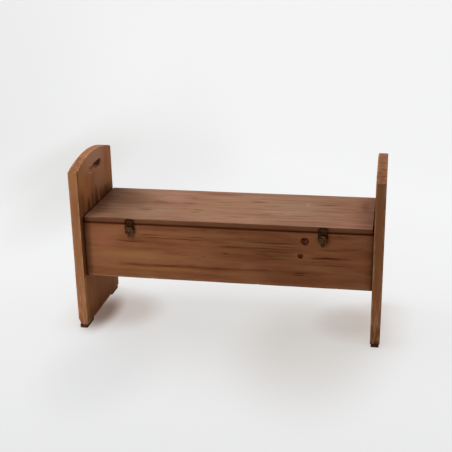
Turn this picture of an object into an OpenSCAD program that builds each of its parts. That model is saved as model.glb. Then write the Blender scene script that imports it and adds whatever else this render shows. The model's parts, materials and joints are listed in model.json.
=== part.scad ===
/* [Overall] */
// Clear width between the two end panels
inner_w = 1055; // [800:5:1400]
// Depth of the end panels, front to back
end_depth = 400; // [340:5:480]
// Height of the seat's top face above the floor
seat_h = 438; // [380:2:480]
// Radius that eases the long edges of the boards
edge_r = 2.5; // [1:0.5:4]

/* [End panels] */
// Thickness of each end panel
end_t = 35; // [30:1:45]
// Height of the end panels at their front and back corners
shoulder_h = 612; // [580:2:700]
// Rise of the arched top above the corners
arch_rise = 32; // [15:1:60]
// Length of the hand-hold slot
slot_l = 140; // [90:5:180]
// Height of the hand-hold slot
slot_h = 27; // [22:1:36]
// Wood left between the slot and the crown of the arch
slot_crown = 47; // [30:1:60]

/* [Storage box] */
// Thickness of the front and back boards
board_t = 20; // [18:1:26]
// Height of the boards' lower edges above the floor
board_low = 205; // [140:5:260]
// Front board's face behind the end panels' front edges
front_setback = 32; // [20:1:50]
// Back board's face inside the end panels' back edges
back_setback = 3.5; // [3.5:0.5:20]
// Thickness of the bottom board
bottom_t = 12; // [9:1:18]
// Width and height of the cleats that carry the bottom board
cleat_s = 20; // [16:1:28]
// Cleats' undersides above the boards' lower edges
cleat_up = 6; // [2:1:20]
// Dowel diameter
dowel_d = 8; // [6:1:10]
// Dowel length, half in the panel and half in the board
dowel_l = 40; // [24:2:44]
// Distance of the outer dowels from a board's edges
dowel_inset = 36; // [20:1:50]

/* [Lid] */
// Thickness of the lid
lid_t = 20; // [18:1:26]
// Lid's front edge beyond the front board's face
lid_overhang = 2; // [0:0.5:3]
// Gap between each end of the lid and the end panel
lid_end_gap = 4.5; // [2:0.5:8]
// Gap between the lid and the boards that it rests on
lid_gap = 0.5; // [0.3:0.1:1]
// Width of each batten under the lid
batten_w = 45; // [30:1:70]
// Thickness of each batten
batten_t = 18; // [12:1:22]
// Distance of each batten's middle from the end panel
batten_from_end = 227.5; // [60:2.5:280]
// Room between the battens' ends and the boards
batten_room = 12; // [8:1:30]

/* [Feet] */
// Thickness of the foot pads
pad_t = 12; // [6:1:16]
// Length of the foot pads, front to back
pad_l = 80; // [50:5:110]
// Inset of the foot pads from the panel's faces and ends
pad_inset = 3; // [1:0.5:5]
// Diameter of the pad nails
nail_d = 2.4; // [2:0.2:3]
// Length of the pad nails
nail_l = 30; // [24:1:45]

/* [Hinges] */
// Distance of each hinge's middle from the end panel
hinge_from_end = 182.5; // [60:2.5:280]
// Length of each hinge
hinge_l = 64; // [50:1:80]
// Width of each leaf
leaf_w = 18; // [15:0.5:18]
// Thickness of each leaf
leaf_t = 1.5; // [1.2:0.1:2]
// Diameter of the hinge pin
hinge_pin_d = 3; // [2.4:0.2:3.2]
// Diameter of the knuckles
knuckle_d = 6; // [5.6:0.2:6.4]

/* [Latches] */
// Distance of each latch's middle from the end panel
latch_from_end = 176.5; // [60:0.5:280]
// Thickness of the latch's sheet metal
sheet_t = 1.2; // [1:0.1:1.5]
// Outer width of the loop and of the lever's shoulders
loop_w = 34; // [32:0.5:40]
// Diameter of the loop's wire
wire_d = 3; // [2.4:0.2:3.4]
// Loop's top below the seat's top face
loop_drop = 2; // [1:0.5:3]
// Radius of the loop's upper bends
loop_bend_r = 9; // [6:0.5:10]
// Lever's pivot below the top of the front board
pivot_drop = 12.5; // [11:0.5:16]
// Lever's pivot in front of the front board's face
pivot_out = 5.2; // [5:0.1:6.5]
// Distance from the lever's pivot to the loop's pivot
crank_r = 9; // [7.5:0.5:10]
// Diameter of the lever's pin
lever_pin_d = 2.6; // [2:0.2:2.8]
// Width of the lever between its flanges' outer faces
lever_w = 26; // [25:0.5:27]
// Length of the lever from its pivot to the end of its finger tab
lever_l = 39; // [36:1:46]
// Length of the lever from its pivot to its shoulders
shoulder_l = 26; // [24:0.5:28]
// Width of the finger tab
tab_w = 15; // [12:0.5:18]
// Curl of the finger tab away from the board
tab_curl = 4; // [2:0.5:6]
// Width of the catch plate
catch_w = 19; // [18:0.5:21]
// Reach of the catch's horn in front of its plate
horn_reach = 5; // [4:0.5:6]

/* [Screws] */
// Diameter of the wood screws
screw_d = 3.5; // [3:0.5:4]
// Length of the wood screws
screw_l = 32; // [24:1:34]
// Diameter of the small brass-finish screws
small_d = 2.4; // [2:0.2:2.6]
// Length of the small screws
small_l = 13; // [10:1:14]

/* [Clearances] */
// Radial clearance of a dowel, screw or nail in its hole
fit = 0.05; // [0.02:0.01:0.1]
// Radial clearance of a turning pin
pin_fit = 0.05; // [0.02:0.01:0.1]
// Clearance around moving sheet metal
run_gap = 0.3; // [0.2:0.05:0.4]
// Clearance of the bottom board all round
bottom_gap = 0.5; // [0.3:0.1:1]

/* [Hidden] */
$fn = 32;

// Faces of the box and the lid, from the bench's middle and the floor
inner_x = inner_w / 2;
front_y = -end_depth / 2 + front_setback;
back_y = end_depth / 2 - back_setback;
lid_low = seat_h - lid_t;
board_top = lid_low - lid_gap;
box_front = front_y + board_t;
box_back = back_y - board_t;
box_depth = box_back - box_front;
cleat_low = board_low + cleat_up;
bottom_low = cleat_low + cleat_s;
bottom_top = bottom_low + bottom_t;

// Arched top and hand-hold slot
arch_r = (end_depth * end_depth / 4 + arch_rise * arch_rise) / (2 * arch_rise);
arch_z = shoulder_h + arch_rise - arch_r;
slot_z = shoulder_h + arch_rise - slot_crown - slot_h / 2;

// Rows of fastenings
dowel_z = [board_low + dowel_inset, (board_low + board_top) / 2, board_top - dowel_inset];
head_d = 2 * screw_d;
small_head_d = 2 * small_d;
screw_row = [for (i = [-2:2]) i * (inner_w - 140) / 4];
bottom_row = [for (i = [-1.5:1.5]) i * (inner_w - 120) / 3];
batten_x = inner_x - batten_from_end;
batten_len = box_depth - 2 * batten_room;
batten_row = [for (i = [-1:1]) (box_front + box_back) / 2 + i * batten_len * 0.4];
batten_screw_l = batten_t + lid_t * 0.6;
batten_head_sink = 2;
nail_head_d = 2 * nail_d;
nail_row = [-pad_l * 0.3, pad_l * 0.3];
pad_y = end_depth / 2 - pad_inset - pad_l / 2;

// Hinges
hinge_x = inner_x - hinge_from_end;
hinge_z = (lid_low + board_top) / 2;
knuckles = 5;
knuckle_l = hinge_l / knuckles;
hinge_screw_row = [-hinge_l * 0.36, 0, hinge_l * 0.36];
hinge_screw_y = -leaf_w * 0.56;
pin_head_t = 1;

// Latches: depths are measured outwards from the front board's face
latch_x = inner_x - latch_from_end;
pivot_z = board_top - pivot_drop;
loop_pivot_z = pivot_z - crank_r;
bar_z = seat_h - loop_drop - wire_d / 2;
leg_x = (loop_w - wire_d) / 2;
lever_knuckle_r = lever_pin_d / 2 + pin_fit + 1.25;
lever_face_out = pivot_out + lever_knuckle_r;
ear_gap = 0.2;
ear_x = lever_w / 2 - sheet_t - 1.6 - sheet_t;
flange_top = pivot_z - lever_knuckle_r - 0.9;
flange_low = loop_pivot_z - wire_d / 2 - 3.5;
flange_in = pivot_out - wire_d / 2 - 0.8;
loop_pin_in = lever_w / 2 - sheet_t - 0.8;
base_w = lever_w - 2;
base_top = pivot_z + 9;
base_low = pivot_z - 22;
base_screws = [[-7.2, 6], [7.2, 6], [0, -16]];
catch_low = lid_low + edge_r;
catch_top = seat_h - edge_r;
catch_face = lid_overhang + sheet_t;
catch_screw_x = catch_w / 2 - small_head_d / 2 - 0.7;
catch_screw_z = catch_low + small_head_d / 2 + 1.3;
horn_w = 8;
horn_top = bar_z - wire_d / 2 - 0.15;
horn_slope = 0.125;
horn_h = 5;

// ---- shared shapes ----

// Carries an outline drawn in Y and Z along X, from x0 to x1
module along_x(x0, x1) {
    translate([x0, 0, 0]) rotate([90, 0, 90]) linear_extrude(height = x1 - x0) children();
}

// Carries an outline drawn in X and Z towards the front, from depth d0 to d1
module outwards(d0, d1) {
    translate([0, -d0, 0]) rotate([90, 0, 0]) linear_extrude(height = d1 - d0) children();
}

// Rod along X
module rod_x(x0, x1, r) {
    translate([x0, 0, 0]) rotate([0, 90, 0]) cylinder(h = x1 - x0, r = r);
}

// Rectangle with rounded corners, from corner [x0, y0] to [x1, y1]
module rounded_rect(x0, y0, x1, y1, r) {
    translate([x0 + r, y0]) square([x1 - x0 - 2 * r, y1 - y0]);
    translate([x0, y0 + r]) square([x1 - x0, y1 - y0 - 2 * r]);
    for (x = [x0 + r, x1 - r], y = [y0 + r, y1 - r]) translate([x, y]) circle(r = r);
}

// Rectangle with its corners cut off at 45 degrees
module chamfered_rect(x0, y0, x1, y1, c) {
    polygon([
        [x0 + c, y0], [x1 - c, y0], [x1, y0 + c], [x1, y1 - c],
        [x1 - c, y1], [x0 + c, y1], [x0, y1 - c], [x0, y0 + c]
    ]);
}

// What is drawn for the right side appears on the left side when side is -1
module on_side(side) {
    mirror([side < 0 ? 1 : 0, 0, 0]) children();
}

// Countersunk wood screw, its head's top at the origin and its tip towards -Z
module screw(d, l) {
    head_h = d / 2;
    slot_t = d * 0.22;
    difference() {
        union() {
            translate([0, 0, -head_h]) cylinder(h = head_h, d1 = d, d2 = 2 * d);
            translate([0, 0, -l + d]) cylinder(h = l - d - head_h + 0.01, d = d);
            translate([0, 0, -l]) cylinder(h = d, d1 = d * 0.2, d2 = d);
        }
        translate([-d, -slot_t / 2, -head_h * 0.45]) cube([2 * d, slot_t, head_h]);
    }
}

// Room for that screw: pilot hole, countersink and a mouth above the head
module screw_hole(d, l) {
    head_h = d / 2;
    translate([0, 0, -head_h]) cylinder(h = head_h, d1 = d + 2 * fit, d2 = 2 * d + 2 * fit);
    translate([0, 0, -l - fit]) cylinder(h = l, d = d + 2 * fit);
    translate([0, 0, -0.01]) cylinder(h = 3, d = 2 * d + 2 * fit);
}

// ---- end panels ----

module panel_outline() {
    difference() {
        intersection() {
            rounded_rect(-end_depth / 2, pad_t, end_depth / 2, shoulder_h + 3 * arch_rise, 5);
            translate([0, arch_z]) circle(r = arch_r, $fn = 256);
        }
        translate([0, slot_z]) {
            square([slot_l - slot_h, slot_h], center = true);
            for (y = [-1, 1] * (slot_l - slot_h) / 2) translate([y, 0]) circle(d = slot_h);
        }
    }
}

// Dowel holes and dowels of one joint, for a board whose middle is at depth y
module dowel_set(y, grow) {
    for (z = dowel_z) translate([inner_x, y, z])
        rod_x(-dowel_l / 2 - grow, dowel_l / 2 + grow, dowel_d / 2 + grow);
}

module end_panel(side) {
    color("saddlebrown") on_side(side) difference() {
        intersection() {
            along_x(inner_x, inner_x + end_t) panel_outline();
            linear_extrude(height = shoulder_h + 2 * arch_rise)
                chamfered_rect(inner_x, -end_depth / 2, inner_x + end_t, end_depth / 2, edge_r * 0.6);
        }
        dowel_set(front_y + board_t / 2, fit);
        dowel_set(back_y - board_t / 2, fit);
        for (s = [-1, 1]) pad_nail_places(s) nail_hole();
    }
}

// ---- storage box ----

module board_blank(y0) {
    along_x(-inner_x, inner_x) rounded_rect(y0, board_low, y0 + board_t, board_top, edge_r);
}

module front_board() {
    color("sienna") difference() {
        board_blank(front_y);
        for (s = [-1, 1]) on_side(s) dowel_set(front_y + board_t / 2, fit);
        front_cleat_places() screw_hole(screw_d, screw_l);
        for (s = [-1, 1]) latch_base_places(s) screw_hole(small_d, small_l);
    }
}

module back_board() {
    color("sienna") difference() {
        board_blank(box_back);
        for (s = [-1, 1]) on_side(s) dowel_set(back_y - board_t / 2, fit);
        back_cleat_places() screw_hole(screw_d, screw_l);
        for (s = [-1, 1]) hinge_at(s) {
            hinge_room(-1);
            leaf_screw_places(-1) screw_hole(small_d, small_l);
        }
    }
}

module front_board_dowels() {
    color("burlywood") for (s = [-1, 1]) on_side(s) dowel_set(front_y + board_t / 2, 0);
}

module back_board_dowels() {
    color("burlywood") for (s = [-1, 1]) on_side(s) dowel_set(back_y - board_t / 2, 0);
}

// Screws through a cleat into its board; the heads sit in the cleat's inner face
module front_cleat_places() {
    for (x = screw_row) translate([x, box_front + cleat_s, cleat_low + cleat_s / 2])
        rotate([-90, 0, 0]) children();
}

module back_cleat_places() {
    for (x = screw_row) translate([x, box_back - cleat_s, cleat_low + cleat_s / 2])
        rotate([90, 0, 0]) children();
}

// Screws through the bottom board into the cleats, clear of the cleats' own screws
module bottom_places() {
    for (x = bottom_row, y = [box_front + cleat_s / 2, box_back - cleat_s / 2])
        translate([x, y, bottom_top]) children();
}

module cleat_blank(y0) {
    translate([-inner_x + bottom_gap, y0, cleat_low]) cube([inner_w - 2 * bottom_gap, cleat_s, cleat_s]);
}

module front_cleat() {
    color("peru") difference() {
        cleat_blank(box_front);
        front_cleat_places() screw_hole(screw_d, screw_l);
        bottom_places() screw_hole(screw_d, bottom_t + cleat_s * 0.7);
    }
}

module back_cleat() {
    color("peru") difference() {
        cleat_blank(box_back - cleat_s);
        back_cleat_places() screw_hole(screw_d, screw_l);
        bottom_places() screw_hole(screw_d, bottom_t + cleat_s * 0.7);
    }
}

module cleat_screws() {
    color("dimgray") {
        front_cleat_places() screw(screw_d, screw_l);
        back_cleat_places() screw(screw_d, screw_l);
    }
}

module bottom_board() {
    color("peru") difference() {
        translate([-inner_x + bottom_gap, box_front + bottom_gap, bottom_low])
            cube([inner_w - 2 * bottom_gap, box_depth - 2 * bottom_gap, bottom_t]);
        bottom_places() screw_hole(screw_d, bottom_t + cleat_s * 0.7);
    }
}

module bottom_screws() {
    color("dimgray") bottom_places() screw(screw_d, bottom_t + cleat_s * 0.7);
}

// ---- feet ----

// Front is -1 or +1 for the front or back pad of the right panel
module pad_place(front) {
    translate([inner_x + end_t / 2, front * pad_y, 0]) children();
}

module pad_nail_places(front) {
    pad_place(front) for (y = nail_row) translate([0, y, 0]) children();
}

// The nail's head is sunk into the pad, clear of the floor
module nail() {
    head_sink = pad_t / 3;
    translate([0, 0, head_sink]) {
        cylinder(h = 1, d = nail_head_d);
        cylinder(h = nail_l, d = nail_d);
    }
}

module nail_hole() {
    head_sink = pad_t / 3;
    translate([0, 0, -1]) cylinder(h = head_sink + 2 + fit, d = nail_head_d + 2 * fit);
    cylinder(h = head_sink + nail_l + fit, d = nail_d + 2 * fit);
}

module foot_pad(side, front) {
    half_w = end_t / 2 - pad_inset;
    color("black") on_side(side) difference() {
        pad_place(front) linear_extrude(height = pad_t)
            rounded_rect(-half_w, -pad_l / 2, half_w, pad_l / 2, 4);
        pad_nail_places(front) nail_hole();
    }
}

module foot_pad_nails() {
    color("dimgray") for (side = [-1, 1], front = [-1, 1])
        on_side(side) pad_nail_places(front) nail();
}

// ---- lid ----

module lid_board() {
    color("sienna") difference() {
        along_x(-inner_x + lid_end_gap, inner_x - lid_end_gap)
            rounded_rect(front_y - lid_overhang, lid_low, back_y, seat_h, edge_r);
        for (s = [-1, 1]) {
            hinge_at(s) {
                hinge_room(1);
                leaf_screw_places(1) screw_hole(small_d, small_l);
            }
            on_side(s) batten_places() screw_hole(screw_d, batten_screw_l);
            latch_catch_places(s) screw_hole(small_d, small_l);
        }
    }
}

// Screws up through a batten into the lid, their heads sunk in the batten
module batten_places() {
    for (y = batten_row) translate([batten_x, y, lid_low - batten_t + batten_head_sink])
        rotate([180, 0, 0]) children();
}

module lid_batten(side) {
    color("peru") on_side(side) difference() {
        translate([batten_x - batten_w / 2, box_front + batten_room, lid_low - batten_t])
            cube([batten_w, batten_len, batten_t]);
        batten_places() screw_hole(screw_d, batten_screw_l);
    }
}

module lid_batten_screws() {
    color("dimgray") for (s = [-1, 1]) on_side(s) batten_places() screw(screw_d, batten_screw_l);
}

// ---- hinges ----

module hinge_at(side) {
    translate([side * hinge_x, back_y, hinge_z]) children();
}

// Mortise for a leaf and its barrel; up is 1 in the lid and -1 in the board
module hinge_room(up) {
    long = hinge_l / 2 + run_gap;
    z0 = up > 0 ? lid_gap / 2 - 0.01 : -lid_gap / 2 - leaf_t;
    translate([-long, -leaf_w - fit, z0]) cube([2 * long, leaf_w + 5, leaf_t + 0.01]);
    rod_x(-long - pin_head_t, long + pin_head_t, knuckle_d / 2 + run_gap);
}

// Screws of one leaf, heads flush with the leaf; up is 1 in the lid and -1 in the board
module leaf_screw_places(up) {
    for (x = hinge_screw_row) translate([x, hinge_screw_y, up * lid_gap / 2])
        rotate([up > 0 ? 180 : 0, 0, 0]) children();
}

// Leaf whose knuckles are the ones numbered in own; the other leaf's are cut clear
module hinge_leaf(up, own, other) {
    color("darkgoldenrod") difference() {
        union() {
            translate([-hinge_l / 2, -leaf_w, up > 0 ? lid_gap / 2 : -lid_gap / 2 - leaf_t])
                cube([hinge_l, leaf_w, leaf_t]);
            for (k = own) rod_x(knuckle_x(k) + run_gap / 2, knuckle_x(k + 1) - run_gap / 2, knuckle_d / 2);
        }
        for (k = other) rod_x(knuckle_x(k), knuckle_x(k + 1), knuckle_d / 2 + run_gap);
        rod_x(-hinge_l, hinge_l, hinge_pin_d / 2 + pin_fit);
        leaf_screw_places(up) screw_hole(small_d, small_l);
    }
}

function knuckle_x(k) = -hinge_l / 2 + k * knuckle_l;

module hinge_pin() {
    color("darkgoldenrod") {
        rod_x(-hinge_l / 2, hinge_l / 2, hinge_pin_d / 2);
        for (s = [-1, 1]) on_side(s) rod_x(hinge_l / 2, hinge_l / 2 + pin_head_t, knuckle_d * 0.4);
    }
}

module hinge_screws(up) {
    color("darkgoldenrod") for (s = [-1, 1]) hinge_at(s) leaf_screw_places(up) screw(small_d, small_l);
}

// ---- latches ----

module latch_at(side) {
    translate([side * latch_x, front_y, 0]) children();
}

module latch_base_places(side) {
    latch_at(side) for (p = base_screws) translate([p[0], -sheet_t, pivot_z + p[1]])
        rotate([90, 0, 0]) children();
}

module latch_catch_places(side) {
    latch_at(side) for (x = [-1, 1] * catch_screw_x) translate([x, -catch_face, catch_screw_z])
        rotate([90, 0, 0]) children();
}

// Plate on the board with two ears that hold the lever's pin
module latch_base(side) {
    color("darkolivegreen") difference() {
        latch_at(side) {
            outwards(0, sheet_t) rounded_rect(-base_w / 2, base_low, base_w / 2, base_top, 2);
            for (s = [-1, 1]) on_side(s) {
                translate([0, -pivot_out, pivot_z]) rod_x(ear_x, ear_x + sheet_t, lever_knuckle_r);
                translate([ear_x, -pivot_out, pivot_z - lever_knuckle_r])
                    cube([sheet_t, pivot_out - sheet_t / 2, 2 * lever_knuckle_r]);
            }
        }
        latch_at(side) translate([0, -pivot_out, pivot_z]) rod_x(-loop_w, loop_w, lever_pin_d / 2 + fit);
        latch_base_places(side) screw_hole(small_d, small_l);
    }
}

module latch_lever_pin(side) {
    end_x = ear_x + sheet_t + 0.6;
    color("dimgray") latch_at(side) translate([0, -pivot_out, pivot_z]) rod_x(-end_x, end_x, lever_pin_d / 2);
}

// Side view of the lever's sheet: straight from the pivot, then curled away from the board
module lever_side() {
    straight = lever_l - shoulder_l;
    turns = [for (i = [0:6]) i / 6];
    outer = [for (t = turns) [-lever_face_out - tab_curl * t * t, pivot_z - shoulder_l - straight * t]];
    inner = [for (i = [6:-1:0]) let (t = i / 6)
        [-lever_face_out + sheet_t - tab_curl * t * t, pivot_z - shoulder_l - straight * t]];
    polygon(concat([[-lever_face_out, pivot_z]], outer, inner, [[-lever_face_out + sheet_t, pivot_z]]));
}

// Front view of the lever: neck between the ears, body, shoulders and rounded finger tab
module lever_front() {
    neck = ear_x - ear_gap;
    translate([-neck, flange_top - 1]) square([2 * neck, pivot_z - flange_top + 1]);
    translate([-lever_w / 2, pivot_z - shoulder_l]) square([lever_w, flange_top - pivot_z + shoulder_l]);
    rounded_rect(-loop_w / 2, pivot_z - shoulder_l, loop_w / 2, flange_low - 0.4, 3);
    translate([-tab_w / 2, pivot_z - lever_l + tab_w / 2]) square([tab_w, lever_l - shoulder_l]);
    translate([0, pivot_z - lever_l + tab_w / 2]) circle(d = tab_w);
}

module latch_lever(side) {
    neck = ear_x - ear_gap;
    color("darkolivegreen") latch_at(side) difference() {
        union() {
            intersection() {
                along_x(-loop_w / 2, loop_w / 2) lever_side();
                outwards(0, 3 * pivot_out) lever_front();
            }
            translate([0, -pivot_out, pivot_z]) rod_x(-neck, neck, lever_knuckle_r);
            for (s = [-1, 1]) on_side(s)
                translate([lever_w / 2 - sheet_t, -lever_face_out, flange_low])
                    cube([sheet_t, lever_face_out - flange_in, flange_top - flange_low]);
        }
        translate([0, -pivot_out, pivot_z]) rod_x(-loop_w, loop_w, lever_pin_d / 2 + pin_fit);
        translate([0, -pivot_out, loop_pivot_z]) rod_x(-loop_w, loop_w, wire_d / 2 + pin_fit);
    }
}

// Bent wire: a bar over the catch, two legs, and ends turned in through the lever's flanges
module latch_loop(side) {
    bend_x = leg_x - loop_bend_r;
    color("dimgray") latch_at(side) translate([0, -pivot_out, 0]) {
        translate([0, 0, bar_z]) rod_x(-bend_x, bend_x, wire_d / 2);
        for (s = [-1, 1]) on_side(s) {
            translate([bend_x, 0, bar_z - loop_bend_r]) rotate([90, 0, 0])
                rotate_extrude(angle = 90) translate([loop_bend_r, 0]) circle(d = wire_d);
            translate([leg_x, 0, loop_pivot_z])
                cylinder(h = bar_z - loop_bend_r - loop_pivot_z, d = wire_d);
            translate([leg_x, 0, loop_pivot_z]) sphere(d = wire_d);
            translate([0, 0, loop_pivot_z]) rod_x(loop_pin_in, leg_x, wire_d / 2);
        }
    }
}

// Plate on the lid's front edge with a horn under the loop's bar
module latch_catch(side) {
    tip = catch_face + horn_reach;
    color("darkolivegreen") difference() {
        latch_at(side) {
            outwards(lid_overhang, catch_face) rounded_rect(-catch_w / 2, catch_low, catch_w / 2, catch_top, 2);
            along_x(-horn_w / 2, horn_w / 2) polygon([
                [-lid_overhang - sheet_t / 2, horn_top - horn_slope * (pivot_out - catch_face)],
                [-tip, horn_top + horn_slope * (tip - pivot_out)],
                [-tip - 0.5, horn_top - 1],
                [-tip + 1, horn_top - 2.2],
                [-lid_overhang - sheet_t / 2, horn_top - horn_h]
            ]);
        }
        latch_catch_places(side) screw_hole(small_d, small_l);
    }
}

module latch_base_screws() {
    color("dimgray") for (s = [-1, 1]) latch_base_places(s) screw(small_d, small_l);
}

module latch_catch_screws() {
    color("dimgray") for (s = [-1, 1]) latch_catch_places(s) screw(small_d, small_l);
}

end_panel(-1);  // left_end_panel
end_panel(1);  // right_end_panel
front_board();
back_board();
front_board_dowels();
back_board_dowels();
front_cleat();
back_cleat();
cleat_screws();
bottom_board();
bottom_screws();
foot_pad(-1, -1);  // foot_pad_front_left
foot_pad(1, -1);  // foot_pad_front_right
foot_pad(-1, 1);  // foot_pad_back_left
foot_pad(1, 1);  // foot_pad_back_right
foot_pad_nails();
lid_board();
lid_batten(-1);  // left_lid_batten
lid_batten(1);  // right_lid_batten
lid_batten_screws();
hinge_at(-1) hinge_leaf(-1, [0, 2, 4], [1, 3]);  // left_hinge_fixed_leaf
hinge_at(-1) hinge_leaf(1, [1, 3], [0, 2, 4]);  // left_hinge_moving_leaf
hinge_at(-1) hinge_pin();  // left_hinge_pin
hinge_at(1) hinge_leaf(-1, [0, 2, 4], [1, 3]);  // right_hinge_fixed_leaf
hinge_at(1) hinge_leaf(1, [1, 3], [0, 2, 4]);  // right_hinge_moving_leaf
hinge_at(1) hinge_pin();  // right_hinge_pin
hinge_screws(-1);  // hinge_board_screws
hinge_screws(1);  // hinge_lid_screws
latch_base(-1);  // left_latch_base
latch_lever(-1);  // left_latch_lever
latch_lever_pin(-1);  // left_latch_lever_pin
latch_loop(-1);  // left_latch_loop
latch_catch(-1);  // left_latch_catch
latch_base(1);  // right_latch_base
latch_lever(1);  // right_latch_lever
latch_lever_pin(1);  // right_latch_lever_pin
latch_loop(1);  // right_latch_loop
latch_catch(1);  // right_latch_catch
latch_base_screws();
latch_catch_screws();
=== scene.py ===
# %% [markdown]
# # A pine storage bench
# The real object is a low chest of planed, stained and waxed pine. Two thick end panels with arched tops
# carry four boards: a front, a back, a bottom and a lid that lifts. Two draw latches of antiqued brass hold
# the lid down, and two butt hinges carry it at the back.
#
# The construction is already modelled to size. This script gives every piece its surface: boards whose
# edges are eased and rubbed by use, timber that is one solid all the way through, so that its end grain
# matches its faces, and metal that has aged in its corners.

# %% The finished construction, loaded as a fixed frame
import json
from functools import partial

import bmesh
import bpy
import numpy as np
from mathutils import Matrix, Vector

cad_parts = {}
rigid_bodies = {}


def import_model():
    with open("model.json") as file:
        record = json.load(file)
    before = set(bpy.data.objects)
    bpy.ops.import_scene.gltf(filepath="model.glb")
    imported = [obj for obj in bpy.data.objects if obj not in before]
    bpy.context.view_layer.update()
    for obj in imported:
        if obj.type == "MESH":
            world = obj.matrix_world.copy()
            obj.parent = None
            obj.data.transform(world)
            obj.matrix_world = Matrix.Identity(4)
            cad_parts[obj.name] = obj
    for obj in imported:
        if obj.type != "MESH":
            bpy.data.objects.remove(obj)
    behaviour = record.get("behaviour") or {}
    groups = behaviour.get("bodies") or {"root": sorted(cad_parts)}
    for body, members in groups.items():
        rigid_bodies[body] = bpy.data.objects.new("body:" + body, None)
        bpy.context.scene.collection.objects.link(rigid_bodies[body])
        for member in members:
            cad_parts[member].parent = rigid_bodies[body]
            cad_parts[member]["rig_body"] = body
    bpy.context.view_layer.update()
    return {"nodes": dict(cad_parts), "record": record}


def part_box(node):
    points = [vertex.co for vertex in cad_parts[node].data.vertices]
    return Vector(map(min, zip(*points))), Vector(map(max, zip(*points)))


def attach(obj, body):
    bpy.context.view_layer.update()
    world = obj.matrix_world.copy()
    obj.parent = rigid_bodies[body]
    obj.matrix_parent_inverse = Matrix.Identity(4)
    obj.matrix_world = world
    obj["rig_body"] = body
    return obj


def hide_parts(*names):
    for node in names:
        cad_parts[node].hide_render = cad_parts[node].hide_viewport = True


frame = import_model()
MM = 0.001
print("pieces of the construction:", len(frame["nodes"]))

# %% [markdown]
# ## The camera
# A bench is shown from a little above the seat, so that the lid, the front and one inner face of an end
# panel all show. A lens of 71 mm from 3.5 m away keeps the long boards nearly parallel. The camera could
# be aimed with a constraint, but three plain angles say more: how far it is turned, tipped and tilted.

# %% Camera
CAMERA_PLACE = (0.5682, -3.1133, 1.4853)
CAMERA_TURN, CAMERA_TIP, CAMERA_TILT = (np.radians(a) for a in (10.814, -19.463, 1.0154))
LENS_MM, SENSOR_MM = 71.10, 36.0
camera = bpy.data.objects.new("camera", bpy.data.cameras.new("camera"))
camera.data.lens = LENS_MM
camera.data.sensor_width = SENSOR_MM
level = Matrix.Rotation(np.pi / 2, 4, "X")
turned = Matrix.Rotation(CAMERA_TURN, 4, "Z") @ Matrix.Rotation(CAMERA_TIP, 4, "X")
camera.matrix_world = Matrix.Translation(CAMERA_PLACE) @ turned @ Matrix.Rotation(CAMERA_TILT, 4, "Y") @ level
bpy.context.scene.collection.objects.link(camera)
bpy.context.scene.camera = camera
bpy.context.scene.view_settings.view_transform = "Standard"
print("camera:", LENS_MM, "mm lens at", CAMERA_PLACE)

# %% [markdown]
# ## Surfaces from numbers
# A board could be a cube with a bevel, but a cube has no places along it to wear, dip or chip. Here each
# board is a cross-section carried along its length, worked out for all its points at once. The helpers
# below turn a grid of points into a closed mesh, and give a smooth, repeatable unevenness.

# %% Helpers: faces of a grid, a mesh from points, and unevenness
def grid_faces(rows, cols, wrap_rows=False):
    """Squares between neighbouring points of a grid whose columns close on themselves.

    Point (i, j) has number i * cols + j, and each square joins rows i, i + 1 to columns j, j + 1."""
    i = np.arange(rows if wrap_rows else rows - 1)[:, None]
    j = np.arange(cols)[None, :]
    below, right = (i + 1) % rows, (j + 1) % cols
    corners = [i * cols + j, below * cols + j, below * cols + right, i * cols + right]
    return np.stack(np.broadcast_arrays(*corners), -1).reshape(-1, 4)


def volume(points, faces):
    """Six times the volume inside the faces: the sum of a . (b x c) over both triangles of each square."""
    a, b, c, d = (points[faces[:, k]] for k in range(4))
    return (np.cross(b, c) * a).sum() + (np.cross(c, d) * a).sum()


def make_piece(name, points, faces, body, stands_for, wear_and_shade=None):
    """Puts points and faces into a smooth mesh whose faces point outwards, and lets it ride on its body.

    It stands for the construction's nodes of those names, which it hides, and wear, if given, becomes a value
    on each point: above 0 rubbed wear, below 0 painted shade."""
    points = np.asarray(points, float).reshape(-1, 3)
    if volume(points, faces) < 0:
        faces = faces[:, ::-1]
    mesh = bpy.data.meshes.new(name)
    mesh.from_pydata(points.tolist(), [], faces.tolist())
    if wear_and_shade is not None:
        values = np.asarray(wear_and_shade, np.float32).ravel()
        # Above 0 this marks rubbed wear; below 0 it marks painted shade, and one darker strip on each end
        # panel
        mesh.attributes.new("wear_and_shade", "FLOAT", "POINT").data.foreach_set("value", values)
    mesh.shade_smooth()
    piece = bpy.data.objects.new(name, mesh)
    bpy.context.scene.collection.objects.link(piece)
    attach(piece, body)
    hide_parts(*stands_for)
    print(name, "has", len(faces), "squares")
    return piece


def ripple(points, wave, seed, waves=9):
    """Smooth unevenness between about -1 and 1: sum of sin(turns + phase) over waves in random directions.

    wave is the typical length of one swell in metres, one number or one for each axis. Each wave is between
    0.6 and 1.5 times as quick, and the sum is divided by the root of 1.5 * waves."""
    random = np.random.default_rng(seed)
    direction = random.normal(size=(3, waves))
    direction /= np.linalg.norm(direction, axis=0)
    phase = random.uniform(0, 2 * np.pi, waves)
    turns = (points / np.asarray(wave)) @ direction * 2 * np.pi * random.uniform(0.6, 1.5, waves)
    return np.sin(turns + phase).sum(-1) / np.sqrt(waves * 1.5)


# %% [markdown]
# ## Eased boards
# A joiner breaks every sharp edge with a plane, and years of hands and brooms round them further, never by
# the same amount twice. So the section is a rectangle whose four corner radii change along the board. The
# two ends are drawn in by the same quarter circle, and closed by a ladder of squares from face to face.
# Every point also gets a number for wear and painted shade, from 1 on an edge to 0 on a face, which the
# finish reads; pieces set it below 0 where shade is painted.

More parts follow.
